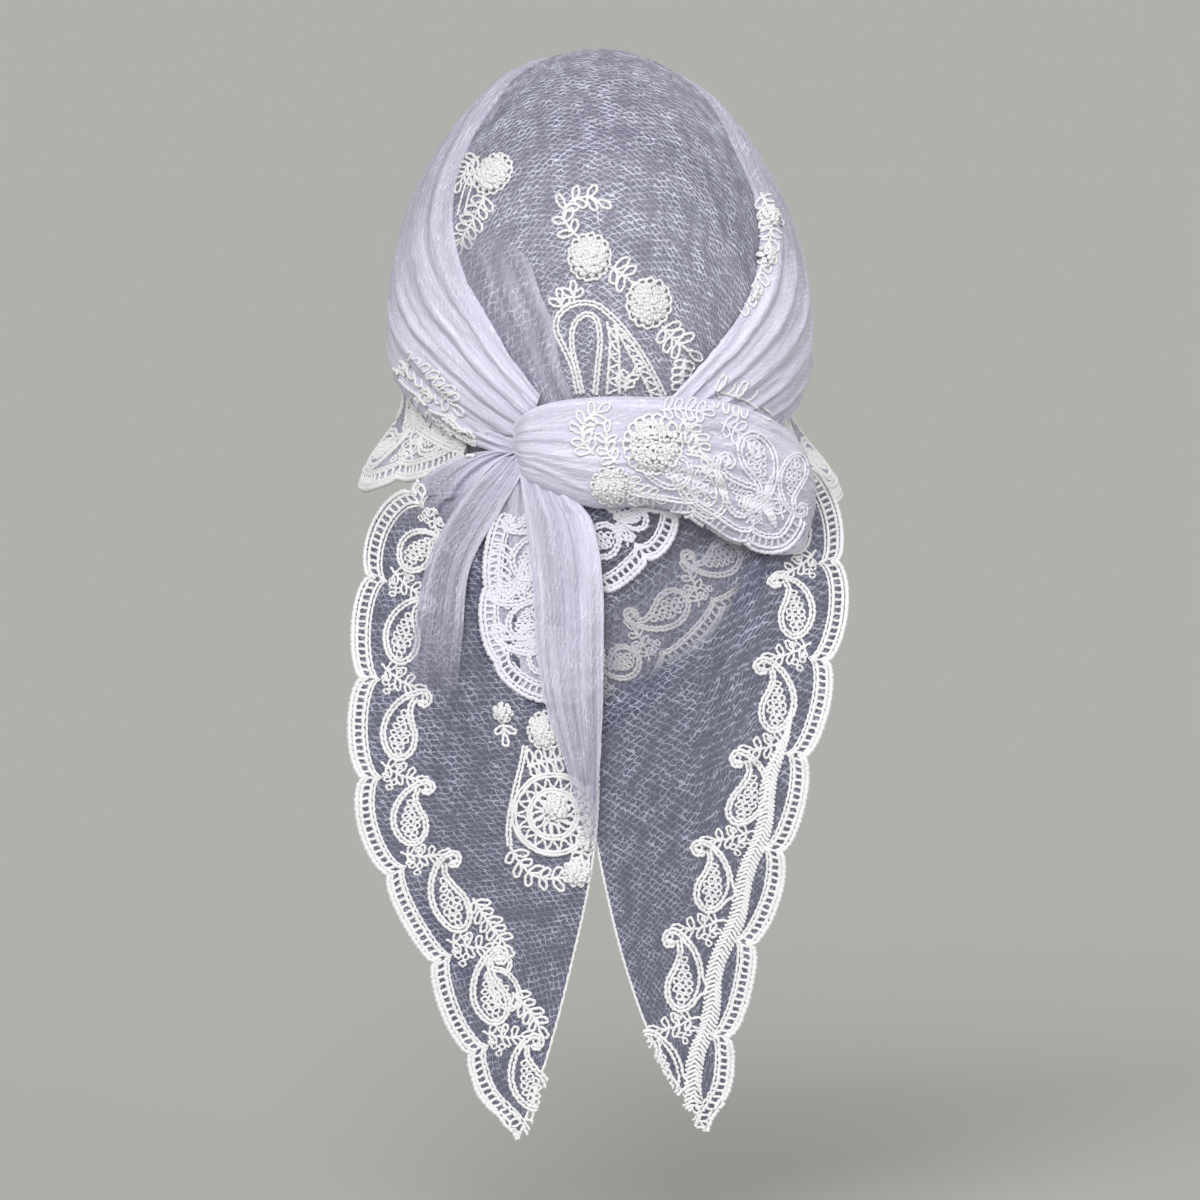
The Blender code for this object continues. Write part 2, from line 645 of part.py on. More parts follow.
def make_centre_fold(material):
    surface = hang_surface(CENTRE_FOLD, CENTRE_FOLD_FOLDS, FOLD_LIFT, FOLD_LIFT)
    along, across = steps(FOLD_STEPS_DOWN), steps(FOLD_STEPS_ACROSS)
    wall("centre_fold", surface, along, across, GATHER_WALL, material, fallback=BACKWARDS)


def corner_x(across):
    return BACK_CORNER[0].x + (BACK_CORNER[-1].x - BACK_CORNER[0].x) * across


def corner_surface(top_of, bottom_of):
    """The back corner between two heights for each x: on the crown panel's ring at its top, and on the
    hanging ring lower down."""

    def surface(across, down):
        x = corner_x(across)
        top, bottom = top_of(across), bottom_of(across)
        z = top + (bottom - top) * down
        half_width = HEAD_HALF_WIDTH * lower_ring_share()
        ring = HEAD_BACK * lower_ring_share() * math.sqrt(1.0 - (x / half_width) ** 2)
        hanging = -hang_point(x, z, 0.0).y
        share = smooth_step((CORNER_BLEND_START - z) / CORNER_BLEND_DEPTH)
        return Vector((x, -(ring + (hanging - ring) * share), z))

    return surface


def make_back_corner(net, lace):
    hem = head_point(0.0, LOWER_RING_POLAR).z - HEM_GAP

    def top(_across):
        return hem

    def edge(across):
        return row_at(BACK_CORNER, corner_x(across)).bottom

    def seam(across):
        return min(hem - CORNER_SEAM_DROP, edge(across) + CORNER_BORDER_DROP)

    def scallops(across):
        return edge(across) - SCALLOP_DEPTH * scallop(across * CORNER_SCALLOPS)

    net_surface = corner_surface(top, seam)
    lace_surface = corner_surface(lambda across: seam(across) - BORDER_GAP, scallops)
    across_steps, down_steps = steps(CORNER_STEPS_ACROSS), steps(CORNER_STEPS_DOWN)
    wall("back_corner", net_surface, across_steps, down_steps, NET_WALL, net, fallback=BACKWARDS)
    across_steps, down_steps = steps(CORNER_SCALLOPS * STEPS_PER_SCALLOP), steps(LACE_STEPS_ACROSS)
    wall("back_corner_lace", lace_surface, across_steps, down_steps, NET_WALL, lace, fallback=BACKWARDS)


def make_rosette(rosette, surface, gap, material):
    """A round, domed rosette made from the points of the cloth under it, moved out."""
    u, v = rosette.along, rosette.across
    along = (surface(u + TINY_STEP, v) - surface(u - TINY_STEP, v)) / (2.0 * TINY_STEP)
    across = (surface(u, v + TINY_STEP) - surface(u, v - TINY_STEP)) / (2.0 * TINY_STEP)
    normal = surface_normal(surface, u, v)

    def disc(share, angle):
        reach = rosette.radius * share
        here_u = u + reach * math.cos(angle) / along.length
        here_v = v + reach * math.sin(angle) / across.length
        return surface(here_u, here_v) + surface_normal(surface, here_u, here_v) * gap

    def dome(share, _angle):
        return ROSETTE_RISE * (1.0 - ROSETTE_EDGE_FALL * share**2)

    angles = steps(ROSETTE_SIDES, 0.0, 2.0 * math.pi)[:-1]
    wall(rosette.name, disc, steps(ROSETTE_RINGS), angles, dome, material, wrap=True, fallback=normal)


def crown_outer(azimuth, polar):
    return head_point(azimuth, polar, NET_WALL)


def wrap_outer(along, down):
    return wrap_surface(along, down) + surface_normal(wrap_surface, along, down) * wrap_thickness(along, down)


def make_rosettes(material):
    for rosette in CROWN_ROSETTES:
        make_rosette(rosette, crown_outer, SEAM_GAP, material)
    for rosette in KNOT_ROSETTES:
        make_rosette(rosette, wrap_outer, HEM_GAP, material)


def main():
    for item in list(bpy.data.objects):
        bpy.data.objects.remove(item, do_unlink=True)
    net = make_material("crinkled_net", NET_COLOUR)
    gathers = make_material("gathered_net", GATHER_COLOUR)
    lace = make_material("embroidered_lace", LACE_COLOUR)
    make_crown(net)
    make_rolls(gathers)
    make_flaps(lace)
    make_wrap(gathers)
    make_centre_fold(gathers)
    make_tails(net, lace)
    make_back_corner(net, lace)
    make_rosettes(lace)


main()
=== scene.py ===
"""Lace bandana: sheer crinkled net, gathered sides, a knot, two tails and a scalloped embroidered border.

Metres, +Z up. The back of the head, with the knot and the tails, faces -Y.
"""

import math
from collections import namedtuple

import bpy
import numpy as np
from bpy.props import FloatProperty, FloatVectorProperty, PointerProperty
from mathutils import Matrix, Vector, noise
from mathutils.bvhtree import BVHTree


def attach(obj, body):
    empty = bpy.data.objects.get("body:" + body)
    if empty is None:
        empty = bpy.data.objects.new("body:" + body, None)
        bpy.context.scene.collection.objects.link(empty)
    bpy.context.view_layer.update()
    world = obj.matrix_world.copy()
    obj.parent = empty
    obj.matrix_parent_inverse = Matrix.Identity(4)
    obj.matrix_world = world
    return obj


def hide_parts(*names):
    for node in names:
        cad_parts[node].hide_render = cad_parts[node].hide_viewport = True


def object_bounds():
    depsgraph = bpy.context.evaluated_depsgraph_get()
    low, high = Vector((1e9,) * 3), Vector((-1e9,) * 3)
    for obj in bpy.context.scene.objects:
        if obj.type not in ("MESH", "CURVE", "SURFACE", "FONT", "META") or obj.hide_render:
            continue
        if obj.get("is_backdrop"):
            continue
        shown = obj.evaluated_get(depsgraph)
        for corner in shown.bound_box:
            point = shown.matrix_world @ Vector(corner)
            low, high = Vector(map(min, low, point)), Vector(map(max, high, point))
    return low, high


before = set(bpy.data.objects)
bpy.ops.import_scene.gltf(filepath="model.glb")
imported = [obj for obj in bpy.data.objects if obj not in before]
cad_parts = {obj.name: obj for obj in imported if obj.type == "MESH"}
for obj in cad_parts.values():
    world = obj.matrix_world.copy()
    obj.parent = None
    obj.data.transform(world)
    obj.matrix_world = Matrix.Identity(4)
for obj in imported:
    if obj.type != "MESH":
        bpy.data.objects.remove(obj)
CAD_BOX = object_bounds()

bl_info = {
    "name": "Lace Bandana",
    "version": (1, 0, 0),
    "blender": (4, 5, 0),
    "location": "3D View > Sidebar > Bandana",
    "description": "Dresses the bandana with sheer net, gathers and an embroidered border",
    "category": "Object",
}

BODY = "root"

# Head form that the cloth is worn on
HEAD_HALF_WIDTH = 0.0915
HEAD_BACK = 0.104
HEAD_FRONT = 0.100
HEAD_RISE = 0.1385
LOWER_RING_POLAR = 106
CROWN_REACH = 0.118

# How far each layer lies outside the head form, and the breadth of the tails' cloth
CROWN_LIFT = 0.0007
FLAP_LIFT = 0.0023
ROLL_LIFT = 0.0031
RIGHT_TAIL_LIFT = 0.0052
LEFT_TAIL_LIFT = 0.0078
TAIL_TOP_LIFT = 0.0079
FOLD_TOP_LIFT = 0.0088
WRAP_LIFT = 0.0096
SEATED_LENGTH = 0.12
WRAP_WALL = 0.0016
LEFT_TAIL_BREADTH = 0.115
RIGHT_TAIL_BREADTH = 0.125

# Scalloped border
SCALLOP_PITCH = 0.046
SCALLOP_DEPTH = 0.0060
FLAP_SCALLOP_DEPTH = 0.0045
FLAP_SCALLOPS = 3
FLAP_LENGTH = 0.132
CORNER_SCALLOPS = 7
CORNER_HEM = -0.1776
RUNG_SPACING = 0.0031
RUNG_ENDS = (0.0018, 0.0064)

# Insets and thread radii of the rows of stitches along the edge
EDGE_ROWS = ((0.0, 0.0013), (0.0019, 0.0010), (0.0064, 0.0010), (0.0080, 0.0007))

# Braid on the right tail
BRAID_SPACING = 0.0020
BRAID_INSET = 0.0108
BRAID_HALF_WIDTH = 0.0040
BRAID_POINT = 0.0032

# Embroidery: the thread, the spacing of the points on a strand, the small step that finds a surface's slope,
# the drop in the cloth that cuts a strand, and the turn from one seed of a rosette to the next
THREAD_RADIUS = 0.0008
THREAD_SIDES = 5
STRAND_STEP = 0.0007
PROBE = 0.0005
CLOTH_STEP = 0.0035
GOLDEN_ANGLE = 2.39996

# Crepe lines: how far the two sets lean apart, before the net is stretched
CREPE_SLANT = 0.66

# Size and height of the small waves in each cloth, and where their pattern starts
CROWN_CRINKLE = (0.008, 0.0006, 3.0)
ROLL_CRINKLE = (0.007, 0.0007, 9.0)
WRAP_CRINKLE = (0.007, 0.0008, 21.0)
HANG_CRINKLE = (0.013, 0.0007)

BACKWARDS = np.array([0.0, -1.0, 0.0])
FORWARDS = Vector((0.0, 1.0, 0.0))


def named_rows(kind, *rows):
    """The rows of a table, with the names of its columns."""
    return tuple(kind(*row) for row in rows)


Rim = namedtuple("Rim", "azimuth polar")
CROWN_RIM = named_rows(
    Rim,
    (0, 106), (50, 106), (72, 106), (90, 104), (108, 97), (120, 84), (135, 68), (150, 57), (165, 51),
    (180, 49),
)  # fmt: skip

RollRow = namedtuple("RollRow", "along inner_azimuth inner_polar outer_azimuth outer_polar stand seat")
LEFT_ROLL = named_rows(
    RollRow,
    (0.0, 180.0, 13.0, 180.0, 49.5, 0.0, 0.0), (0.1, 130, 13.5, 163, 52.0, 0.0004, 0.0),
    (0.2, 92, 18.5, 146, 60.0, 0.0012, 0.0004), (0.32, 66, 33.5, 128, 75.5, 0.0026, 0.001),
    (0.46, 60.5, 53.0, 109, 90.0, 0.004, 0.0018), (0.6, 54, 65.0, 92, 96.0, 0.0045, 0.0022),
    (0.72, 44, 75.5, 74, 99.5, 0.0042, 0.0024), (0.83, 34.5, 83.0, 55, 104.5, 0.0034, 0.0026),
    (0.92, 25, 91.0, 37, 109.0, 0.0025, 0.0046), (1.0, 15.5, 98.5, 21, 112.0, 0.0012, 0.0066),
)  # fmt: skip
RIGHT_ROLL = named_rows(
    RollRow,
    (0.0, 180.0, 13.0, 180.0, 49.5, 0.0, 0.0), (0.1, 117, 20.0, 163, 52.0, 0.0004, 0.0),
    (0.2, 88, 31.0, 146, 60.0, 0.0014, 0.0004), (0.32, 69, 46.0, 128, 76.0, 0.003, 0.001),
    (0.46, 66, 60.0, 109, 93.5, 0.0048, 0.0018), (0.6, 60.5, 70.0, 92, 100.0, 0.0065, 0.0022),
    (0.72, 52, 79.0, 74, 104.0, 0.006, 0.0024), (0.83, 40, 87.0, 56, 107.5, 0.0042, 0.0026),
    (0.92, 29, 93.0, 40, 110.0, 0.0028, 0.005), (1.0, 19, 99.0, 24, 112.0, 0.0012, 0.0074),
)  # fmt: skip

FlapRow = namedtuple("FlapRow", "azimuth top bottom flare")
LEFT_FLAP = named_rows(
    FlapRow,
    (42, -0.172, -0.186, 0.0), (52, -0.168, -0.192, 0.002), (66, -0.158, -0.199, 0.012),
    (80, -0.149, -0.203, 0.02), (92, -0.143, -0.199, 0.019), (104, -0.141, -0.187, 0.01),
    (114, -0.137, -0.166, 0.004), (120, -0.132, -0.141, 0.001),
)  # fmt: skip
RIGHT_FLAP = named_rows(
    FlapRow,
    (50, -0.174, -0.187, 0.0), (58, -0.171, -0.192, 0.002), (68, -0.166, -0.202, 0.01),
    (80, -0.158, -0.209, 0.021), (92, -0.152, -0.205, 0.022), (104, -0.148, -0.19, 0.012),
    (114, -0.143, -0.17, 0.005), (120, -0.138, -0.148, 0.001),
)  # fmt: skip

Ring = namedtuple("Ring", "height half_width")
HANG_RINGS = named_rows(
    Ring,
    (-0.52, 0.6), (-0.42, 0.46), (-0.36, 0.34), (-0.31, 0.23), (-0.27, 0.165), (-0.236, 0.13),
    (-0.205, 0.114), (-0.15, 0.11),
)  # fmt: skip

WrapRow = namedtuple("WrapRow", "along x top bottom puff")
KNOT_WRAP = named_rows(
    WrapRow,
    (0.0, -0.0385, -0.173, -0.1935, 0.0004), (0.09, -0.0265, -0.164, -0.202, 0.0072),
    (0.24, -0.002, -0.16, -0.211, 0.0115), (0.44, 0.025, -0.16, -0.21, 0.012),
    (0.64, 0.052, -0.1615, -0.221, 0.0105), (0.82, 0.077, -0.17, -0.233, 0.0085),
    (0.93, 0.0925, -0.183, -0.233, 0.0055), (1.0, 0.0995, -0.199, -0.218, 0.001),
)  # fmt: skip

HangRow = namedtuple("HangRow", "along outer_x outer_z inner_x inner_z")
LEFT_TAIL = named_rows(
    HangRow,
    (0.0, -0.044, -0.187, -0.027, -0.186), (0.08, -0.068, -0.197, -0.023, -0.201),
    (0.16, -0.091, -0.211, -0.016, -0.22), (0.26, -0.104, -0.238, -0.007, -0.249),
    (0.4, -0.1085, -0.285, -0.001, -0.295), (0.55, -0.108, -0.338, 0.0, -0.345),
    (0.66, -0.1, -0.372, -0.003, -0.378), (0.78, -0.079, -0.412, -0.0105, -0.415),
    (0.9, -0.059, -0.462, -0.023, -0.464), (1.0, -0.038, -0.505, -0.0372, -0.5052),
)  # fmt: skip
RIGHT_TAIL = named_rows(
    HangRow,
    (0.0, 0.0985, -0.196, -0.007, -0.206), (0.1, 0.1075, -0.222, -0.009, -0.232),
    (0.2, 0.1105, -0.25, -0.01, -0.262), (0.35, 0.1035, -0.292, -0.009, -0.305),
    (0.5, 0.0925, -0.335, -0.0035, -0.35), (0.65, 0.0805, -0.383, 0.0045, -0.392),
    (0.8, 0.0665, -0.427, 0.0145, -0.43), (0.9, 0.0585, -0.463, 0.027, -0.462),
    (1.0, 0.0515, -0.5015, 0.0507, -0.5018),
)  # fmt: skip
CROWN_TUCK = named_rows(
    HangRow,
    (0.0, -0.064, -0.08, -0.063, -0.08), (0.25, -0.068, -0.102, -0.033, -0.096),
    (0.5, -0.06, -0.128, -0.0236, -0.119), (0.75, -0.046, -0.15, -0.0175, -0.14),
    (1.0, -0.03, -0.17, -0.01, -0.165),
)  # fmt: skip
FRONT_FOLD = named_rows(
    HangRow,
    (0.0, -0.037, -0.188, -0.025, -0.186), (0.1, -0.035, -0.205, -0.012, -0.205),
    (0.2, -0.0325, -0.222, -0.003, -0.218), (0.35, -0.03, -0.248, 0.0015, -0.245),
    (0.55, -0.028, -0.28, 0.002, -0.28), (0.7, -0.0235, -0.305, 0.0015, -0.306),
    (0.82, -0.016, -0.327, 0.0005, -0.328), (0.92, -0.0105, -0.346, -0.0005, -0.347),
    (1.0, -0.0065, -0.365, -0.0015, -0.3655),
)  # fmt: skip
UNDER_FOLD = named_rows(
    HangRow,
    (0.0, -0.041, -0.1885, -0.025, -0.187), (0.15, -0.0465, -0.211, -0.01, -0.21),
    (0.35, -0.051, -0.238, 0.0005, -0.238), (0.6, -0.0525, -0.264, 0.002, -0.268),
    (0.8, -0.048, -0.284, 0.0015, -0.29), (0.92, -0.0395, -0.2955, -0.003, -0.299),
    (1.0, -0.028, -0.3005, -0.018, -0.3015),
)  # fmt: skip
SIDE_GATHER = named_rows(
    HangRow,
    (0.0, -0.044, -0.188, -0.03, -0.187), (0.2, -0.063, -0.208, -0.044, -0.211),
    (0.45, -0.078, -0.234, -0.059, -0.239), (0.7, -0.085, -0.266, -0.0625, -0.27),
    (1.0, -0.088, -0.3, -0.066, -0.302),
)  # fmt: skip

CornerRow = namedtuple("CornerRow", "x bottom")
BACK_CORNER = named_rows(
    CornerRow,
    (-0.08, -0.228), (-0.06, -0.26), (-0.04, -0.289), (-0.02, -0.306), (-0.004, -0.3125), (0.012, -0.305),
    (0.024, -0.295), (0.046, -0.27), (0.0745, -0.244), (0.08, -0.238),
)  # fmt: skip
CORNER_BLEND_START = -0.197
CORNER_BLEND_DEPTH = 0.055

# A crease is a soft ridge, or a trough where its height is below zero, from one place on a piece to another.
# bow bends it sideways in its middle. bow, width and height are in millimetres.
Crease = namedtuple("Crease", "u0 v0 u1 v1 bow width height")
CROWN_CREASES = named_rows(
    Crease,
    (-15.5, 70, -5.5, 104, 1.5, 4.6, 2.4), (-21, 84, -9, 108, 1.0, 3.0, -1.0),
    (-28, 74, -12, 106, 2.0, 3.6, 0.9), (-38, 68, -17, 102, 2.5, 3.4, 0.8),
    (-44, 56, -30, 84, 2.0, 3.2, 0.6), (-8, 86, -3, 108, 0.5, 2.6, -0.8), (36, 60, 22, 100, -2.0, 3.4, 0.7),
    (46, 52, 34, 84, -2.0, 3.0, 0.7), (56, 44, 47, 74, -2.0, 3.2, 0.8), (30, 84, 17, 106, -1.0, 2.8, 0.8),
    (24, 66, 14, 92, -1.0, 3.0, -0.5), (-50, 22, 44, 27, 3.0, 3.0, 0.45), (-62, 31, -4, 36, 2.0, 2.8, 0.5),
    (6, 36, 62, 33, 2.0, 2.8, 0.55), (-40, 42, 18, 46, 2.0, 3.0, 0.45), (20, 47, 58, 45, 1.0, 2.6, 0.5),
    (-58, 47, -26, 52, 1.0, 2.8, 0.45), (-18, 55, 30, 53, 2.0, 3.2, 0.4), (-90, 14, 80, 16, 1.0, 3.0, 0.4),
    (150, 30, 100, 34, 1.0, 3.5, 0.6), (-150, 34, -100, 30, 1.0, 3.5, 0.6),
)  # fmt: skip
LEFT_ROLL_CREASES = named_rows(
    Crease,
    (0.12, 0.05, 1.15, 0.12, 1.0, 3.4, 2.1), (0.3, 0.17, 1.15, 0.2, -1.0, 2.4, -1.2),
    (0.26, 0.23, 1.15, 0.29, 1.5, 3.6, 1.8), (0.46, 0.33, 1.15, 0.37, 0.5, 2.2, -1.0),
    (0.16, 0.42, 1.15, 0.47, 2.0, 4.0, 2.3), (0.52, 0.52, 1.15, 0.55, 0.0, 2.2, -1.1),
    (0.33, 0.6, 1.15, 0.66, 1.0, 3.4, 1.7), (0.48, 0.71, 1.15, 0.75, 0.0, 2.4, -1.0),
    (0.22, 0.81, 1.15, 0.86, 1.5, 3.8, 2.0), (0.62, 0.92, 1.15, 0.93, 0.0, 2.2, -0.8),
    (0.02, 0.2, 0.34, 0.14, 1.0, 3.2, 0.9), (0.03, 0.56, 0.42, 0.52, 2.0, 3.6, 0.9),
    (-0.1, 0.74, 0.3, 0.7, 1.0, 3.4, 0.8), (0.66, 0.08, 1.15, 0.04, 0.0, 1.8, -0.7),
    (0.7, 0.4, 1.15, 0.42, 0.0, 1.8, 0.8), (0.68, 0.64, 1.15, 0.6, 0.0, 1.8, 0.9),
)  # fmt: skip
RIGHT_ROLL_CREASES = named_rows(
    Crease,
    (0.16, 0.06, 1.15, 0.13, 1.5, 3.4, 1.9), (0.34, 0.15, 1.15, 0.2, 0.0, 2.4, -1.1),
    (0.28, 0.22, 1.15, 0.29, 2.0, 3.4, 1.7), (0.42, 0.32, 1.15, 0.37, 0.0, 2.4, -1.2),
    (0.2, 0.4, 1.15, 0.45, 2.0, 4.2, 2.2), (0.54, 0.5, 1.15, 0.54, 0.0, 2.2, -1.3),
    (0.38, 0.57, 1.15, 0.65, 2.5, 3.8, 2.0), (0.5, 0.68, 1.15, 0.74, 0.0, 2.6, -1.4),
    (0.24, 0.78, 1.15, 0.84, 1.0, 3.8, 1.8), (0.58, 0.9, 1.15, 0.92, 0.0, 2.4, -0.9),
    (0.04, 0.3, 0.4, 0.24, 1.0, 3.4, 0.9), (-0.06, 0.62, 0.36, 0.56, 1.5, 3.8, 0.9),
    (0.64, 0.1, 1.15, 0.06, 0.0, 1.8, 0.7), (0.66, 0.46, 1.15, 0.49, 0.0, 1.8, -0.8),
    (0.72, 0.78, 1.15, 0.79, 0.0, 1.8, 0.9),
)  # fmt: skip
WRAP_CREASES = named_rows(
    Crease,
    (-0.1, 0.42, 1.0, 0.06, 2.0, 3.0, 1.5), (-0.1, 0.44, 0.92, 0.17, 1.5, 2.2, -1.2),
    (-0.1, 0.45, 1.1, 0.28, 1.0, 3.0, 1.8), (-0.1, 0.47, 0.8, 0.37, 0.5, 2.0, -1.3),
    (-0.1, 0.5, 1.05, 0.46, 0.5, 3.0, 1.4), (-0.1, 0.51, 0.72, 0.57, -0.5, 2.0, -1.2),
    (-0.1, 0.54, 1.1, 0.66, -1.0, 3.2, 1.8), (-0.1, 0.56, 0.86, 0.76, -1.0, 2.2, -1.2),
    (-0.1, 0.58, 1.05, 0.86, -1.5, 3.0, 1.4), (0.48, 0.1, 1.1, 0.14, 0.5, 2.0, -0.9),
    (0.58, 0.5, 1.1, 0.38, 0.5, 2.0, 0.9), (0.62, 0.74, 1.1, 0.78, 0.0, 2.2, 1.0),
    (0.02, 0.3, 0.3, 0.16, 0.0, 1.6, 0.9), (0.02, 0.66, 0.26, 0.88, 0.0, 1.6, 0.9),
)  # fmt: skip
FOLD_CREASES = named_rows(
    Crease,
    (-0.1, 0.12, 0.8, 0.1, 1.0, 2.9, 1.2), (-0.1, 0.22, 0.6, 0.23, 0.5, 2.0, -0.8),
    (-0.1, 0.36, 0.9, 0.32, -1.0, 3.8, 1.9), (-0.1, 0.47, 0.66, 0.46, 0.5, 2.0, -0.9),
    (-0.1, 0.6, 1.1, 0.56, 0.5, 3.8, 1.5), (-0.1, 0.72, 0.74, 0.68, 0.0, 2.2, -1.0),
    (-0.1, 0.85, 1.1, 0.8, -0.5, 3.6, 1.9),
)  # fmt: skip
UNDER_CREASES = named_rows(
    Crease,
    (-0.1, 0.2, 0.62, 0.16, 1.0, 3.4, 1.0), (-0.1, 0.48, 0.76, 0.4, 1.5, 4.0, 1.1),
    (-0.1, 0.76, 0.84, 0.7, 0.5, 3.8, 1.0), (-0.1, 0.34, 0.46, 0.3, 0.0, 2.6, -0.8),
)  # fmt: skip
LEFT_TAIL_CREASES = named_rows(
    Crease,
    (-0.1, 0.24, 0.58, 0.2, 2.0, 4.6, 1.9), (-0.1, 0.31, 0.48, 0.28, 1.0, 3.4, -1.5),
    (-0.1, 0.38, 0.78, 0.34, 2.0, 5.0, 2.8), (-0.1, 0.45, 0.56, 0.42, 1.0, 3.4, -1.8),
    (-0.1, 0.52, 0.64, 0.46, 1.5, 4.6, 2.4), (-0.1, 0.6, 0.52, 0.56, 0.0, 3.6, -1.6),
    (-0.1, 0.68, 0.72, 0.66, -1.0, 5.2, 2.4), (-0.1, 0.88, 0.86, 0.84, -1.0, 4.8, 2.0),
    (-0.1, 0.15, 0.4, 0.1, 1.0, 3.0, 1.4), (0.3, 0.6, 0.98, 0.4, 4.0, 6.5, 1.3),
    (0.42, 0.86, 0.94, 0.78, 2.0, 5.0, -1.0),
)  # fmt: skip
RIGHT_TAIL_CREASES = named_rows(
    Crease,
    (0.02, 0.3, 0.74, 0.26, 2.0, 6.0, 1.8), (0.04, 0.52, 0.9, 0.5, -2.0, 7.0, 2.4),
    (0.0, 0.76, 0.78, 0.72, 1.0, 6.0, 1.9), (-0.1, 0.4, 0.34, 0.42, 0.0, 4.0, -1.2),
    (-0.1, 0.64, 0.3, 0.62, 0.0, 4.0, -1.1), (0.1, 0.12, 0.6, 0.1, 1.0, 4.6, 1.2),
    (0.4, 0.86, 1.0, 0.8, 2.0, 5.0, 1.0),
)  # fmt: skip
CORNER_CREASES = named_rows(
    Crease,
    (0.24, -0.2, 0.3, 1.1, 2.0, 5.0, 0.9), (0.46, -0.2, 0.47, 1.1, -2.0, 5.0, 1.0),
    (0.66, -0.2, 0.6, 1.1, 2.0, 5.0, 0.9),
)  # fmt: skip

FoldSheet = namedtuple("FoldSheet", "name rows lift creases breadth finish flat area edge")
FOLD_SHEETS = named_rows(
    FoldSheet,
    ("centre_fold_net", FRONT_FOLD, 0.0138, FOLD_CREASES, 0.036, "fold_net", (0.05, 0.19), 0.0062, 0.0008),
    ("under_fold_net", UNDER_FOLD, 0.0096, UNDER_CREASES, 0.055, "under_net", (0.075, 0.12), 0.0066, 0.0),
    ("side_gather_net", SIDE_GATHER, 0.0112, FOLD_CREASES, 0.030, "gather_net", (0.040, 0.125), 0.0036, 0.0),
)

# How each net looks. cell is the size of its crinkles, stretch how far they are drawn out, and turn their
# angle in radians. sheer holds shares of the sheerness at two distances along the cloth. layers holds those
# distances, and the thickness there, from 0 for one layer of net to 1 for a bundle of gathers. even is the
# share of the thickness that the fine folds leave alone. fade holds the two distances between which a gather
# flattens out into the net under it. glint makes the lines lighter than usual.
Net = namedtuple("Net", "cell stretch turn sheer layers even fade glint", defaults=(None, 1.0))
NETS = {
    "crown_net": Net(0.0026, 2.1, 0.0, (0.35, 0.35), (0.0, 1.0, 0.15, 0.15), 0.6, None, 1.75),
    "flap_net": Net(0.0030, 1.6, 0.5, (1.0, 1.0), (0.0, 1.0, 0.55, 0.55), 0.5),
    "tail_net": Net(0.0029, 1.3, -1.20, (0.2, 0.2), (0.012, 0.085, 1.00, 0.0), 0.62),
    "right_tail_net": Net(0.0029, 1.3, 1.20, (2.35, 0.2), (0.040, 0.049, 0.03, 0.0), 0.5),
    "corner_net": Net(0.0031, 1.3, 1.0, (0.3, 0.3), (0.0, 1.0, 0.14, 0.14), 0.5),
    "roll_net": Net(0.0029, 2.4, 0.30, (1.3, 1.0), (0.10, 0.29, 0.66, 1.00), 0.75),
    "wrap_net": Net(0.0029, 2.4, 0.30, (1.0, 1.7), (0.04, 0.13, 1.00, 0.84), 0.75),
    "fold_net": Net(0.0029, 2.4, 0.25, (1.0, 1.6), (0.02, 0.15, 1.00, 0.74), 0.65, (0.150, 0.190)),
    "tuck_net": Net(0.0030, 1.7, 0.9, (1.0, 1.0), (0.0, 1.0, 0.62, 0.62), 0.5, (0.040, 0.0)),
    "under_net": Net(0.0032, 1.6, 0.40, (1.0, 1.3), (0.00, 0.16, 1.00, 0.72), 0.55),
    "gather_net": Net(0.0032, 1.6, 0.40, (1.2, 2.1), (0.00, 0.14, 1.00, 0.50), 0.55, (0.070, 0.130)),
}
SOFT_THREAD_COLOUR = (0.84, 0.83, 0.91, 1.0)


def smooth(value):
    """0 below 0, 1 above 1, and a soft rise between."""
    value = np.clip(value, 0.0, 1.0)
    return value * value * (3.0 - 2.0 * value)


def table_at(rows, key):
    """The columns of a table at values of its first one, on smooth curves through the rows."""
    table = np.array([tuple(row) for row in rows], float)
    keys, values = table[:, 0], table[:, 1:]
    key = np.clip(np.asarray(key, float), keys[0], keys[-1])
    start = np.clip(np.searchsorted(keys, key, side="right") - 1, 0, len(keys) - 2)
    before, after = np.maximum(start - 1, 0), np.minimum(start + 2, len(keys) - 1)
    span = (keys[start + 1] - keys[start])[..., None]
    part = (key - keys[start])[..., None] / span
    slope_start = (values[start + 1] - values[before]) / (keys[start + 1] - keys[before])[..., None] * span
    slope_end = (values[after] - values[start]) / (keys[after] - keys[start])[..., None] * span
    found = (
        (2 * part**3 - 3 * part**2 + 1) * values[start]
        + (part**3 - 2 * part**2 + part) * slope_start
        + (3 * part**2 - 2 * part**3) * values[start + 1]
        + (part**3 - part**2) * slope_end
    )
    return tuple(np.moveaxis(found, -1, 0))


def crease_height(creases, u, v, length, breadth):
    """How far the creases stand out at u and v, on a piece of that length and breadth in metres."""
    height = np.zeros(np.broadcast(u, v).shape)
    for crease in creases:
        run, rise = (crease.u1 - crease.u0) * length, (crease.v1 - crease.v0) * breadth
        span = math.hypot(run, rise)
        x, y = (u - crease.u0) * length, (v - crease.v0) * breadth
        along = (x * run + y * rise) / span**2
        inside = np.clip(along, 0.0, 1.0)
        off = (y * run - x * rise) / span - 0.001 * crease.bow * 4.0 * inside * (1.0 - inside)
        ends = smooth(along / 0.2) * smooth((1.0 - along) / 0.2)
        height += 0.001 * crease.height * ends * np.exp(-((off / (0.001 * crease.width)) ** 2))
    return height


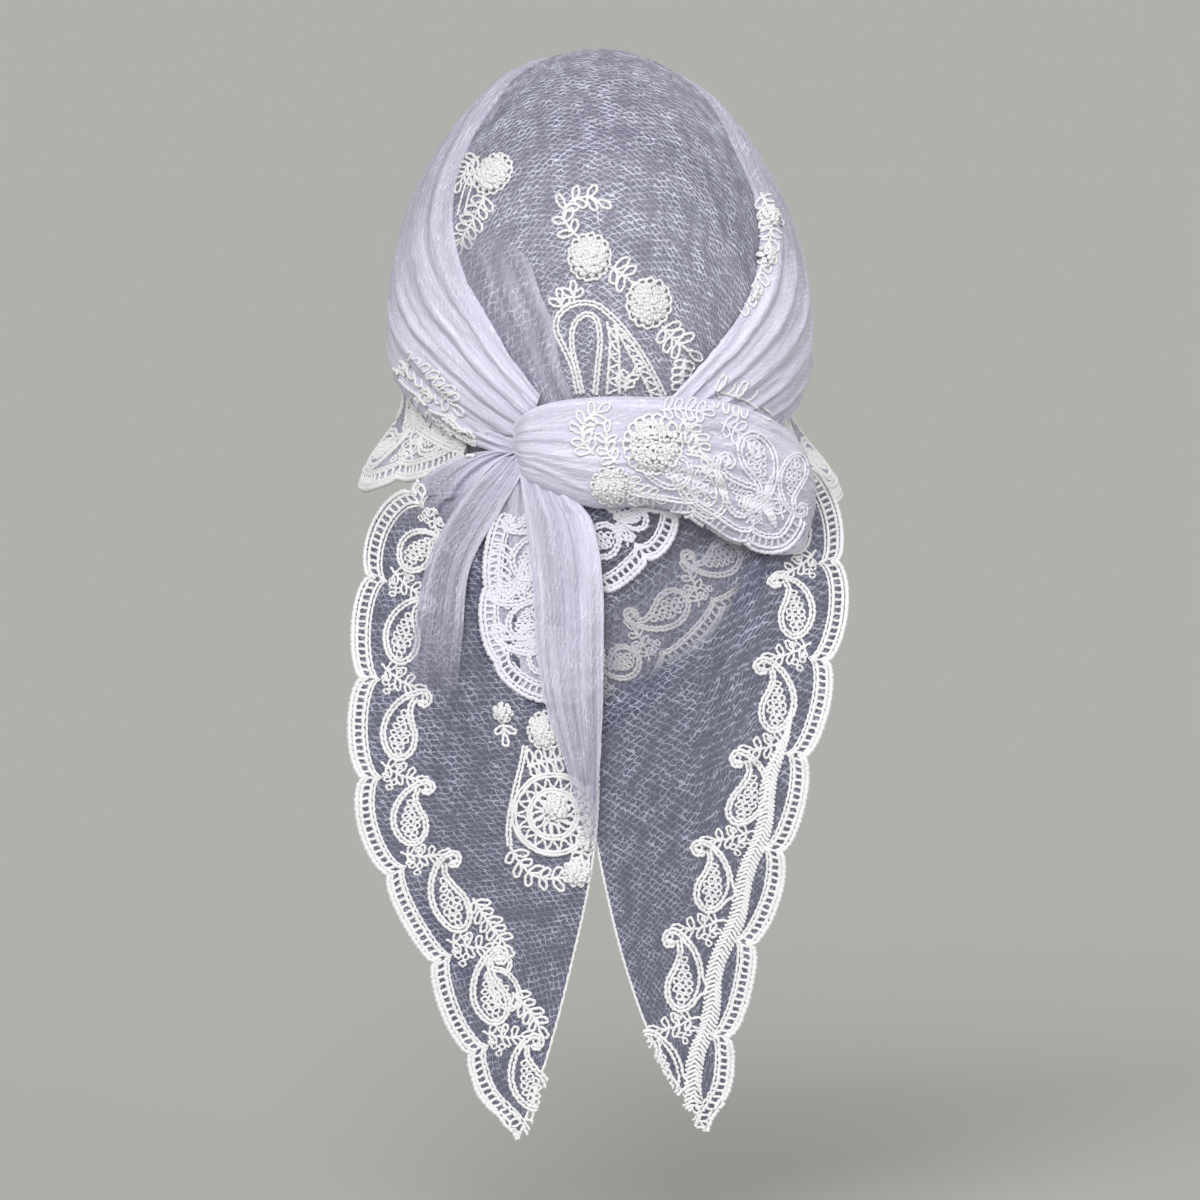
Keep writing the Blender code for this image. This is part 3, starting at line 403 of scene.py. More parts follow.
def crinkle(u, v, size, height, seed):
    """Small uneven waves, as a crepe net has, at u and v in metres."""
    u, v = np.broadcast_arrays(u, v)
    found = [noise.fractal((a / size, b / size, seed), 0.8, 2.1, 3) for a, b in zip(u.ravel(), v.ravel())]
    return height * np.array(found).reshape(u.shape)


def scallop(turns):
    """A round scallop, 0 in the notches and 1 in the middle, for a position counted in scallops."""
    return np.sqrt(np.clip(1.0 - (2.0 * (turns % 1.0) - 1.0) ** 2, 0.0, 1.0))


def points_of(*parts):
    """Points, or pairs, from their parts, each a number or an array."""
    return np.stack(np.broadcast_arrays(*parts), axis=-1)


def unit(vectors):
    return vectors / np.maximum(np.linalg.norm(vectors, axis=-1, keepdims=True), 1e-12)


def facing(vectors, outward):
    """The vectors, each turned round where it points away from outward."""
    return np.where((vectors * outward).sum(-1, keepdims=True) < 0, -vectors, vectors)


def grid(rows, columns, last=1.0):
    """Two grids of values: from 0 to last down the rows, and from 0 to 1 along them."""
    return np.meshgrid(np.linspace(0.0, last, rows), np.linspace(0.0, 1.0, columns), indexing="ij")


def run_along(line):
    """The distance along a line, at each of its points."""
    return np.concatenate([[0.0], np.cumsum(np.linalg.norm(np.diff(line, axis=0), axis=1))])


def left_of(line):
    """Unit vectors to the left of a flat line."""
    tangent = unit(np.gradient(line, axis=0))
    return points_of(-tangent[:, 1], tangent[:, 0])


def columns_at(at, keys, table):
    """The columns of a table at values of its keys, on straight lines between the rows."""
    return points_of(*(np.interp(at, keys, column) for column in table.T))


def edge_place(edge, inward, distance, at, inset):
    """x and z at a distance along an edge and an inset from it."""
    return columns_at(at, distance, edge) + columns_at(at, distance, inward) * np.asarray(inset)[..., None]


def turned(pairs, angle):
    """Pairs turned by an angle in radians."""
    cos, sin = math.cos(angle), math.sin(angle)
    x, y = pairs.T
    return points_of(x * cos - y * sin, x * sin + y * cos)


def on_head(azimuth, polar, lift):
    """Points on the head form, moved out along its normal."""
    azimuth, polar = np.radians(azimuth), np.radians(polar)
    depth = np.where(np.cos(azimuth) >= 0, HEAD_BACK, HEAD_FRONT)
    x, y, z = np.sin(polar) * np.sin(azimuth), -np.sin(polar) * np.cos(azimuth), np.cos(polar)
    point = points_of(x * HEAD_HALF_WIDTH, y * depth, (z - 1.0) * HEAD_RISE)
    normal = unit(points_of(x / HEAD_HALF_WIDTH, y / depth, z / HEAD_RISE))
    return point + normal * np.asarray(lift)[..., None]


def on_cloth(azimuth, polar, lift):
    """Points on the head form, or straight below its lower ring."""
    share = math.sin(math.radians(LOWER_RING_POLAR))
    above = on_head(azimuth, polar, lift)
    depth = np.where(np.cos(np.radians(azimuth)) >= 0, HEAD_BACK, HEAD_FRONT)
    x = (HEAD_HALF_WIDTH * share + lift) * np.sin(np.radians(azimuth))
    y = -(depth * share + lift) * np.cos(np.radians(azimuth))
    below = points_of(x, y, on_head(azimuth, polar, 0.0 * lift)[..., 2])
    return np.where(np.asarray(polar <= LOWER_RING_POLAR)[..., None], above, below)


def hanging(x, z, lift):
    """Points of cloth that hangs behind the head, on a ring that flattens towards the tips."""
    (half_width,) = table_at(HANG_RINGS, z)
    half_width = half_width + lift
    depth = (HEAD_BACK + lift) * np.sqrt(np.maximum(0.02, 1.0 - (x / half_width) ** 2))
    return points_of(x, -depth, z)


def grid_normals(points, outward):
    """Unit normals of a grid of points, on the side that outward points to."""
    return facing(unit(np.cross(np.gradient(points, axis=0), np.gradient(points, axis=1))), outward)


def away_from_head(points):
    middle = points_of(0.0, 0.0, np.minimum(points[..., 2], -HEAD_RISE * 0.7))
    return unit(points - middle)


def turned_edge(points, uvs, outward, first, radius, tuck, turns=5):
    """Adds a rolled edge along a grid's first or last column: it turns under and runs back for tuck."""
    if first:
        points, uvs = turned_edge(points[:, ::-1], uvs[:, ::-1], outward[:, ::-1], False, radius, tuck)
        return points[:, ::-1], uvs[:, ::-1]
    normal = grid_normals(points, outward)[:, -1]
    tangent = unit(points[:, -1] - points[:, -2])
    edge, edge_uv = points[:, -1], uvs[:, -1]
    more, more_uv = [], []
    for turn in range(1, turns + 1):
        angle = math.pi * turn / turns
        more.append(edge + tangent * radius * math.sin(angle) - normal * radius * (1.0 - math.cos(angle)))
        more_uv.append(edge_uv + np.array([0.0, radius * angle]))
    if tuck:
        more.append(more[-1] - tangent * tuck)
        more_uv.append(more_uv[-1] + np.array([0.0, tuck]))
    points = np.concatenate([points, np.stack(more, axis=1)], axis=1)
    return points, np.concatenate([uvs, np.stack(more_uv, axis=1)], axis=1)


def cloth_object(name, points, uvs, outward, finish, round_about=False):
    """One sheet of cloth from a grid of points, facing outward. A round one closes on itself and on its top."""
    outward = np.broadcast_to(outward, points.shape)
    rows, columns = points.shape[:2]
    index = np.arange(rows * columns).reshape(rows, columns)
    if round_about:
        index = np.concatenate([index, index[:, :1]], axis=1)
    faces = np.stack([index[:-1, :-1], index[:-1, 1:], index[1:, 1:], index[1:, :-1]], axis=-1)
    faces = faces.reshape(-1, 4).tolist()
    vertices, flat = points.reshape(-1, 3), uvs.reshape(-1, 2)
    if round_about:
        top = len(vertices)
        vertices = np.concatenate([vertices, points[:1].mean(axis=1)])
        flat = np.concatenate([flat, uvs[:1].mean(axis=1)])
        faces += [(top, int(a), int(b)) for a, b in zip(index[0, 1:], index[0, :-1])]
    middle = faces[len(faces) // 2]
    a, b, c = (Vector(vertices[i]) for i in middle[:3])
    if (b - a).cross(c - a).dot(Vector(outward.reshape(-1, 3)[middle[0]])) < 0:
        faces = [tuple(reversed(face)) for face in faces]
    mesh = bpy.data.meshes.new(name)
    mesh.from_pydata(vertices.tolist(), [], faces)
    layer = mesh.uv_layers.new(name="cloth")
    corners = np.empty(len(mesh.loops), dtype=np.int64)
    mesh.loops.foreach_get("vertex_index", corners)
    layer.data.foreach_set("uv", flat[corners].ravel())
    mesh.shade_smooth()
    return shown(name, mesh, finish)


def shown(name, mesh, finish):
    mesh.materials.append(finish_named(finish))
    item = bpy.data.objects.new(name, mesh)
    bpy.context.scene.collection.objects.link(item)
    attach(item, BODY)
    return item


# Finishes


def put(tree, socket, value):
    """Links a node's output to a socket, or sets the socket to a constant."""
    if isinstance(value, bpy.types.NodeSocket):
        tree.links.new(value, socket)
    else:
        socket.default_value = value


def add_node(tree, kind, *sources, settings=(), **values):
    """A shader node. sources go to its first sockets in order, and values to the sockets of those names."""
    made = tree.nodes.new(kind)
    for key, value in dict(settings).items():
        setattr(made, key, value)
    for key, value in values.items():
        put(tree, made.inputs[key.replace("_", " ")], value)
    for socket, value in zip(made.inputs, sources):
        put(tree, socket, value)
    return made


def joined(tree, operation, one, two=0.0):
    """Two values, or a value and a number, in one sum."""
    return add_node(tree, "ShaderNodeMath", one, two, settings={"operation": operation}).outputs[0]


def mixed(tree, factor, one, two):
    """A colour between two, each a socket or a colour."""
    made = add_node(tree, "ShaderNodeMix", factor, settings={"data_type": "RGBA"})
    for socket, value in zip(made.inputs[6:8], (one, two)):
        put(tree, socket, value)
    return made.outputs[2]


def ramp(tree, value, start, end, low, high, soft=False):
    """low where a value is at start, high where it is at end, and a straight or soft rise between."""
    settings = {"interpolation_type": "SMOOTHSTEP"} if soft else {}
    limits = {"From_Min": start, "From_Max": end, "To_Min": low, "To_Max": high}
    return add_node(tree, "ShaderNodeMapRange", value, settings=settings, **limits).outputs[0]


def flat_noise(tree, place, scale, detail):
    return add_node(
        tree, "ShaderNodeTexNoise", place, settings={"noise_dimensions": "2D"}, Scale=scale, Detail=detail
    )


def grained(tree, shader, colour, darkest, scale):
    """Gives a shader a colour with a fine grain, down to a share of it. Returns the grain."""
    place = add_node(tree, "ShaderNodeTexCoord").outputs["Object"]
    grain = add_node(tree, "ShaderNodeTexNoise", place, Scale=scale, Detail=3.0).outputs["Fac"]
    dark = tuple(darkest * c for c in colour[:3]) + (1.0,)
    put(tree, shader.inputs["Base Color"], mixed(tree, grain, dark, colour))
    return grain


def raised(tree, shader, height, strength, distance):
    """Gives a shader fine relief."""
    relief = add_node(tree, "ShaderNodeBump", Strength=strength, Distance=distance, Height=height)
    put(tree, shader.inputs["Normal"], relief.outputs[0])


def new_finish(name, roughness, sheen, specular=0.25):
    """A material with its shader's constants set, its tree and its shader."""
    material = bpy.data.materials.new(name)
    material.use_nodes = True
    tree = material.node_tree
    shader = tree.nodes["Principled BSDF"]
    for key, value in (
        ("Roughness", roughness),
        ("Sheen Weight", sheen),
        ("Sheen Roughness", 0.45),
        ("Sheen Tint", (0.93, 0.92, 1.0, 1.0)),
        ("Specular IOR Level", specular),
    ):
        put(tree, shader.inputs[key], value)
    return material, tree, shader


def crinkle_lines(tree, place, scale, stretch, turn, thickness):
    """The light lines of a crinkled net: 1 on a line and 0 between them."""
    wobble = flat_noise(tree, place, scale * 0.45, 2.0).outputs["Color"]
    shift = add_node(tree, "ShaderNodeVectorMath", wobble, settings={"operation": "SCALE"}, Scale=1.1 / scale)
    moved = add_node(tree, "ShaderNodeVectorMath", place, shift.outputs[0], settings={"operation": "ADD"})
    spread = {"Rotation": (0.0, 0.0, turn), "Scale": (scale / stretch, scale, 1.0)}
    mapping = add_node(tree, "ShaderNodeMapping", moved.outputs[0], **spread)
    edges = {"voronoi_dimensions": "2D", "feature": "DISTANCE_TO_EDGE"}
    cells = add_node(tree, "ShaderNodeTexVoronoi", mapping.outputs[0], settings=edges, Scale=1.0)
    return ramp(tree, cells.outputs["Distance"], 0.0, thickness, 1.0, 0.0, soft=True)


def wavy_lines(tree, place, cell, turn):
    """Long wavy lines a cell apart, as crepe has them: 1 on a line and 0 between them."""
    scale, start = (1.0 / cell, 1.0 / cell, 1.0), (7.3 * turn, 3.1, 0.0)
    mapping = add_node(tree, "ShaderNodeMapping", place, Rotation=(0.0, 0.0, turn), Scale=scale, Location=start)
    waves = add_node(
        tree, "ShaderNodeTexWave", mapping.outputs[0], settings={"bands_direction": "Y"},
        Scale=math.pi / 10.0, Distortion=5.0, Detail=2.0, Detail_Scale=2.2, Detail_Roughness=0.62,
    )  # fmt: skip
    return ramp(tree, waves.outputs["Fac"], 0.84, 1.0, 0.0, 1.0, soft=True)


def net_finish(name, net):
    """Sheer crinkled net. Its pale lines lie on a thinner ground that is seen through."""
    cloth = bpy.context.scene.bandana_cloth
    material, tree, shader = new_finish(name, 0.80, 0.20)
    place = add_node(tree, "ShaderNodeUVMap", settings={"uv_map": "cloth"}).outputs[0]
    slant = CREPE_SLANT / net.stretch
    lines = wavy_lines(tree, place, net.cell, net.turn - slant)
    crossing = wavy_lines(tree, place, net.cell * 1.15, net.turn + slant)
    cells = crinkle_lines(tree, place, 1.0 / net.cell, 1.5, net.turn, 0.085)
    for more, share in ((crossing, 0.90), (cells, 0.45)):
        lines = joined(tree, "MAXIMUM", lines, joined(tree, "MULTIPLY", more, share))
    patches = flat_noise(tree, place, 95.0, 4.0).outputs["Fac"]
    lines = joined(tree, "MULTIPLY", lines, ramp(tree, patches, 0.35, 0.65, 0.22, 0.84))

    along = add_node(tree, "ShaderNodeSeparateXYZ", place).outputs[0]
    far = joined(tree, "ABSOLUTE", along)
    start, end, *thickness = net.layers
    drawn = add_node(tree, "ShaderNodeMapping", place, Scale=(11.0, 150.0, 1.0))
    fold = ramp(tree, flat_noise(tree, drawn.outputs[0], 1.0, 4.0).outputs["Fac"], 0.34, 0.66, 0.0, 1.0)
    shade = joined(tree, "ADD", net.even, joined(tree, "MULTIPLY", fold, 1.0 - net.even))
    thick = joined(tree, "MULTIPLY", ramp(tree, far, start, end, *thickness, soft=True), shade)

    ground = mixed(tree, thick, tuple(cloth.net_ground), tuple(cloth.gathered))
    line_colour = tuple(min(1.0, net.glint * c) for c in cloth.net_line)
    bright = mixed(tree, thick, line_colour, tuple(cloth.gathered_line))
    fibre = flat_noise(tree, place, 1500.0, 1.0).outputs["Fac"]
    threads = joined(tree, "MULTIPLY", joined(tree, "SUBTRACT", fibre, 0.45), 0.22)
    share = joined(tree, "ADD", lines, threads)
    share.node.use_clamp = True
    put(tree, shader.inputs["Base Color"], mixed(tree, share, ground, bright))

    sheer = ramp(tree, far, start, end, *(cloth.sheerness * share_there for share_there in net.sheer))
    open_net = joined(tree, "MULTIPLY", joined(tree, "SUBTRACT", 1.0, lines), sheer)
    closing = joined(tree, "SUBTRACT", 1.0, joined(tree, "MULTIPLY", thick, 0.72))
    cover = joined(tree, "SUBTRACT", 1.0, joined(tree, "MULTIPLY", open_net, closing))
    if net.fade:
        cover = joined(tree, "MULTIPLY", cover, ramp(tree, along, *net.fade, 1.0, 0.0))
    put(tree, shader.inputs["Alpha"], cover)
    raised(tree, shader, joined(tree, "ADD", joined(tree, "MULTIPLY", lines, 0.6), fold), 0.6, 0.0006)
    return material


def thread_finish(name, colour):
    """White embroidery thread: fine fibres in its colour and its relief. The small hollows between the stitches
    come from the cords' shape.
    """
    material, tree, shader = new_finish(name, 0.62, 0.35)
    raised(tree, shader, grained(tree, shader, colour, 0.80, 1400.0), 0.5, 0.0003)
    return material


def finish_named(name):
    """The finish of that name, made the first time that it is asked for."""
    if name in bpy.data.materials:
        return bpy.data.materials[name]
    if name in NETS:
        return net_finish(name, NETS[name])
    usual = tuple(bpy.context.scene.bandana_thread.colour)
    return thread_finish(name, SOFT_THREAD_COLOUR if name == "soft_thread" else usual)


# Surfaces


def crown_surface(azimuth, polar):
    lift = CROWN_LIFT + crease_height(CROWN_CREASES, azimuth, polar, 0.0016, 0.0022)
    return on_head(azimuth, polar, lift)


def roll_surface(rows, creases, side, along, across):
    """side is 1 for the right roll and -1 for the left one."""
    inner_azimuth, inner_polar, outer_azimuth, outer_polar, stand, seat = table_at(rows, along)
    azimuth = inner_azimuth + (outer_azimuth - inner_azimuth) * across
    polar = inner_polar + (outer_polar - inner_polar) * across
    bulge = np.sin(math.pi * np.clip(across, 0.0, 1.0)) ** 0.7
    seated = 0.35 + 0.65 * np.maximum(smooth(across), smooth((along - 0.75) / 0.25))
    tucked = 0.0014 * (1.0 - smooth(across / 0.10)) * smooth((0.9 - along) / 0.2)
    lift = ROLL_LIFT + stand * bulge + seat * seated - tucked
    held = smooth((along + 0.02) / 0.2) * (1.0 - 0.65 * smooth((along - 0.90) / 0.10))
    lift = lift + 0.74 * crease_height(creases, along, across, 0.30, 0.11) * held
    return on_cloth(side * azimuth, polar, lift)


def flap_azimuth(rows, along):
    return rows[0].azimuth + (rows[-1].azimuth - rows[0].azimuth) * along


def flap_surface(rows, side, along, down):
    """along runs forwards from the knot side, down from the hidden top to the scallops."""
    azimuth = flap_azimuth(rows, along)
    top, bottom, flare = table_at(rows, azimuth)
    scallops = FLAP_SCALLOP_DEPTH * scallop(along * FLAP_SCALLOPS) * smooth(down)
    height = top + (bottom - top) * down - scallops
    free = smooth((down - 0.30) / 0.70)
    wave = 0.0018 * np.sin(2.0 * math.pi * 2.5 * along) + 0.0011 * np.sin(2.0 * math.pi * 5.3 * along + 0.9)
    lift = FLAP_LIFT + flare * free + wave * free * smooth(along / 0.3)
    polar = np.degrees(np.arccos(np.clip(1.0 + height / HEAD_RISE, -1.0, 1.0)))
    return on_cloth(side * azimuth, polar, lift)


def wrap_surface(along, down):
    x, top, bottom, _ = table_at(KNOT_WRAP, along)
    return hanging(x, top + (bottom - top) * down, WRAP_LIFT - 0.005 * (1.0 - smooth(along / 0.08)))


def wrap_puff(along, down):
    _, _, _, puff = table_at(KNOT_WRAP, along)
    rounded = np.sqrt(np.clip(1.0 - (2.0 * down - 1.0) ** 2, 0.0, 1.0))
    return WRAP_WALL + (puff + crease_height(WRAP_CREASES, along, down, 0.135, 0.052)) * rounded


HangPlan = namedtuple("HangPlan", "outer inner distance along pitch inward lift creases breadth")


def hang_plan(rows, lift, creases, breadth, scallop_pitch=None):
    """A hanging piece's outer and inner edges in its plane, and the length along the outer one."""
    along = np.linspace(0.0, 1.0, 801)
    outer_x, outer_z, inner_x, inner_z = table_at(rows, along)
    outer, inner = points_of(outer_x, outer_z), points_of(inner_x, inner_z)
    distance = run_along(outer)
    towards = inner - outer
    towards[-20:] = towards[-21]
    padded = np.pad(facing(left_of(outer), towards), ((15, 15), (0, 0)), mode="edge")
    kernel = np.ones(31) / 31
    inward = unit(points_of(*(np.convolve(column, kernel, mode="valid") for column in padded.T)))
    pitch = distance[-1] / round(distance[-1] / scallop_pitch) if scallop_pitch else None
    return HangPlan(outer, inner, distance, along, pitch, inward, lift, creases, breadth)


def scallop_out(plan, distance):
    along = np.interp(distance, plan.distance, plan.along)
    return SCALLOP_DEPTH * scallop(distance / plan.pitch) * smooth((1.0 - along) / 0.06)


def border_place(plan, at, inset):
    """x and z at a distance along the edge and an inset from the line of the notches."""
    return edge_place(plan.outer, plan.inward, plan.distance, at, inset)


def hang_points(plan, along, across, top_lift):
    """A hanging piece at along and across: 0 is its outer edge, with the scallops, and 1 its inner one."""
    distance = np.interp(along, plan.along, plan.distance)
    outer = border_place(plan, distance, -scallop_out(plan, distance) if plan.pitch else 0.0 * distance)
    inner = columns_at(along, plan.along, plan.inner)
    place = outer + (inner - outer) * across[..., None]
    lift = top_lift + (plan.lift - top_lift) * smooth(along / SEATED_LENGTH)
    length = plan.distance[-1]
    lift = lift + crease_height(plan.creases, along, across, length, plan.breadth)
    waves = crinkle(along * length, across * plan.breadth, *HANG_CRINKLE, seed=plan.breadth)
    lift = lift + waves * smooth(along / 0.1)
    return hanging(place[..., 0], place[..., 1], lift)


def corner_points(across, down, edge_drop=1.0):
    """The back corner: on the crown's ring at its top, and on the hanging ring lower down."""
    x = BACK_CORNER[0].x + (BACK_CORNER[-1].x - BACK_CORNER[0].x) * across
    (bottom,) = table_at(BACK_CORNER, x)
    bottom = bottom - SCALLOP_DEPTH * scallop(across * CORNER_SCALLOPS) * edge_drop
    z = CORNER_HEM + (bottom - CORNER_HEM) * down
    share = math.sin(math.radians(LOWER_RING_POLAR))
    ring = HEAD_BACK * share * np.sqrt(1.0 - (x / (HEAD_HALF_WIDTH * share)) ** 2)
    hung = -hanging(x, z, 0.0 * x)[..., 1]
    blend = smooth((CORNER_BLEND_START - z) / CORNER_BLEND_DEPTH)
    depth = ring + (hung - ring) * blend + 0.0006
    depth = depth + crease_height(CORNER_CREASES, across, down, 0.16, 0.11) * smooth(down / 0.3)
    return points_of(x, -depth, z)


# Embroidery


Strand = namedtuple("Strand", "points radius lift", defaults=(0.0,))


def millimetres(*pairs):
    return np.array(pairs, float) / 1000.0


def curve_through(points, step=STRAND_STEP):
    """Even points on a smooth curve through the given ones."""
    knots = np.concatenate([2 * points[:1] - points[1:2], points, 2 * points[-1:] - points[-2:-1]])
    t = np.linspace(0.0, 1.0, 12, endpoint=False)[:, None]
    found = [
        0.5 * (2 * b + (c - a) * t + (2 * a - 5 * b + 4 * c - d) * t**2 + (3 * b - a - 3 * c + d) * t**3)
        for a, b, c, d in zip(knots[:-3], knots[1:-2], knots[2:-1], knots[3:])
    ]
    return even_points(np.concatenate(found + [knots[-2:-1]]), step)


def even_points(points, step=STRAND_STEP):
    length = run_along(points)
    count = max(4, int(round(length[-1] / step)))
    return columns_at(np.linspace(0.0, length[-1], count + 1), length, points)


def ring_at(centre, radius, sides=16):
    angle = np.linspace(0.0, 2.0 * math.pi, sides + 1)
    return np.asarray(centre) + points_of(radius * np.cos(angle), radius * np.sin(angle))


def leaf_at(base, angle, length, width):
    """The loop of a leaf that grows from base at an angle in radians."""
    t = np.linspace(0.0, 2.0 * math.pi, 21)
    x, y = length * (0.5 - 0.5 * np.cos(t)), 0.5 * width * np.sin(t) * np.abs(np.sin(t / 2.0)) ** 0.4
    return np.asarray(base) + turned(points_of(x, y), angle)


def spray(stem, leaf_length, leaf_width, spacing, lean=0.95):
    """A stem with leaf loops on both sides and one at its end."""
    line = curve_through(stem)
    length = run_along(line)
    end, count = length[-1], max(1, int(length[-1] / spacing))
    leaves = []
    for i in range(count + 1):
        at = min(end, (i + 0.5 * (i < count)) * spacing)
        near = (at, min(at + 0.002, end), max(at - 0.002, 0.0))
        base, ahead, behind = (columns_at(s, length, line) for s in near)
        heading = math.atan2(*(ahead - behind)[::-1])
        if i == count:
            leaves.append((line[-1], heading, leaf_length))
            break
        for side in (1, -1):
            size = leaf_length * (1.0 + 0.12 * math.sin(3.7 * i + side))
            leaves.append((base, heading + side * lean, size))
    outlines = [leaf_at(*leaf, leaf_width) for leaf in leaves]
    return [Strand(points, THREAD_RADIUS) for points in [line] + outlines]


def sprays(*rows):
    """Sprays from their stems in millimetres, the length and breadth of the leaves, their spacing and lean."""
    return [strand for stem, *sizes in rows for strand in spray(millimetres(*stem), *sizes)]


def doubled(points, gap, radius=THREAD_RADIUS, rows=2, lift=0.0):
    """A double row of chain stitches, or more rows."""
    line = curve_through(points)
    side = left_of(line) * gap
    return [Strand(line + side * (i - (rows - 1) / 2), radius, lift) for i in range(rows)]


def path_border(points, scallops, depth=0.0045):
    """A scalloped border along a path in x and z, on its left."""
    line = curve_through(points, 0.001)
    distance, inward = run_along(line), left_of(line)
    pitch = distance[-1] / scallops

    def place(at, radius):
        return Strand(edge_place(line, inward, distance, *at.T), radius)

    strands = border(distance[-1], pitch, lambda s: depth * scallop(s / pitch), place)
    return [s for s in strands if len(s.points) > 3]


def zigzag(one, two, count):
    """A zigzag between two lines."""
    lines = curve_through(two), curve_through(one)
    points = [lines[i % 2][int(round(i / count * (len(lines[i % 2]) - 1)))] for i in range(count + 1)]
    return [Strand(even_points(np.array(points)), 0.0007)]


def rosette(centre, radius, petals=14, squeeze=1.0, turn=0.0):
    """A full rosette: close rings of stitches that rise to the middle, and short petal loops round them."""
    strands = []
    for i in range(petals):
        angle = 2.0 * math.pi * i / petals
        base = np.array([math.cos(angle), math.sin(angle)]) * radius * 0.70
        petal = leaf_at(base, angle, radius * 0.31, radius * 0.40)
        strands.append(Strand(petal, THREAD_RADIUS, 0.0003))
    seeds = int((radius * 0.80 / 0.00105) ** 2)
    for i in range(seeds):
        share = 0.80 * math.sqrt((i + 0.5) / seeds)
        angle = i * GOLDEN_ANGLE
        place = radius * share * np.array([math.cos(angle), math.sin(angle)])
        lift = 0.0003 + 0.0018 * (1.0 - share**2) + 0.0003 * math.sin(7.0 * i)
        strands.append(Strand(ring_at(place, 0.0007, sides=6), 0.0009, lift))
    shape = np.array([1.0, squeeze])
    return [Strand(turned(s.points * shape, turn) + np.asarray(centre), s.radius, s.lift) for s in strands]


def rosettes(radius, petals, *places):
    """Like rosettes, each at its place in millimetres."""
    return [strand for place in millimetres(*places) for strand in rosette(place, radius, petals)]


def loops(*places):
    """Small round loops, each at its place in millimetres."""
    return [Strand(ring_at(place, 0.0014), 0.0006) for place in millimetres(*places)]


def paisley(place):
    """A paisley with a curled hook and packed loops. place(points, radius) lays its points out."""
    outline = np.array(
        [
            (0.215, 0.0262), (0.245, 0.0290), (0.175, 0.0314), (0.105, 0.0288), (0.125, 0.0236),
            (0.220, 0.0170), (0.380, 0.0116), (0.560, 0.0096), (0.740, 0.0118), (0.815, 0.0168),
            (0.740, 0.0224), (0.580, 0.0244), (0.420, 0.0228), (0.280, 0.0222), (0.165, 0.0246),
        ]
    )  # fmt: skip
    scale = np.array([SCALLOP_PITCH, 1.0])
    strands = [place(s.points, 0.0009) for s in doubled(outline * scale, 0.0017, 0.0009)]
    for s, t in (
        (0.33, 0.0195), (0.40, 0.0178), (0.41, 0.0206), (0.47, 0.0160), (0.48, 0.0191), (0.54, 0.0147),
        (0.55, 0.0177), (0.55, 0.0207), (0.61, 0.0140), (0.62, 0.0169), (0.62, 0.0200), (0.68, 0.0148),
        (0.69, 0.0178), (0.74, 0.0164), (0.22, 0.0272), (0.17, 0.0290),
    ):  # fmt: skip
        strands.append(place(ring_at((s * SCALLOP_PITCH, t), 0.00135), 0.00065))
    return strands


def paisley_at(x, z, scale, angle, flip=1.0):
    """A paisley anywhere, its middle at x and z in millimetres, turned by an angle in degrees."""

    def place(points, radius):
        local = (points - np.array([0.0215, 0.0185])) * np.array([scale, scale * flip])
        return Strand(turned(local, math.radians(angle)) + np.array([x, z]) / 1000.0, radius)

    return paisley(place)


def notch_sprig(place):
    """The little leaf sprig between two scallops."""
    stem = np.array([(0.84, 0.0080), (0.93, 0.0125), (1.01, 0.0180), (1.05, 0.0235)])
    strands = [place(curve_through(stem * np.array([SCALLOP_PITCH, 1.0])), 0.0007)]
    for s, t, angle, length in (
        (0.90, 0.0110, 2.3, 0.0058), (0.90, 0.0110, 0.1, 0.0050), (0.97, 0.0155, 2.4, 0.0062),
        (0.97, 0.0155, 0.2, 0.0062), (1.03, 0.0200, 2.5, 0.0056), (1.03, 0.0200, 0.4, 0.0060),
        (1.05, 0.0235, 1.4, 0.0062),
    ):  # fmt: skip
        strands.append(place(leaf_at((s * SCALLOP_PITCH, t), angle, length, 0.0030), 0.0007))
    return strands


def border(length, pitch, out_at, place):
    """A whole scalloped border: its ladder edge, and a paisley and a sprig for each scallop."""
    every = np.linspace(0.0, length, int(length / 0.0008))
    strands = [
        place(points_of(every, inset - out_at(every)), radius)
        for inset, radius in EDGE_ROWS
    ]
    rungs = np.arange(0.0, length, RUNG_SPACING)
    for s, out in zip(rungs, out_at(rungs)):
        strands.append(place(points_of(s, np.linspace(*RUNG_ENDS, 6) - out), THREAD_RADIUS))
    scale = np.array([pitch / SCALLOP_PITCH, 1.0])
    for i in range(int(round(length / pitch))):

        def placed(points, radius, start=np.array([i * pitch, 0.0])):
            return place(points * scale + start, radius)

        strands += paisley(placed) + notch_sprig(placed)
        for s, t in ((0.03, 0.0105), (0.07, 0.0135), (0.12, 0.0110), (0.98, 0.0100), (0.90, 0.0165)):
            strands.append(placed(ring_at((s * SCALLOP_PITCH, t), 0.0013), 0.0006))
    return strands


def tree_of(*names):
    """The surfaces of some pieces, to lay stitches on."""
    vertices, faces = [], []
    for name in names:
        mesh, start = bpy.data.objects[name].data, len(vertices)
        vertices += [v.co.copy() for v in mesh.vertices]
        faces += [tuple(start + i for i in p.vertices) for p in mesh.polygons]
    return BVHTree.FromPolygons(vertices, faces)


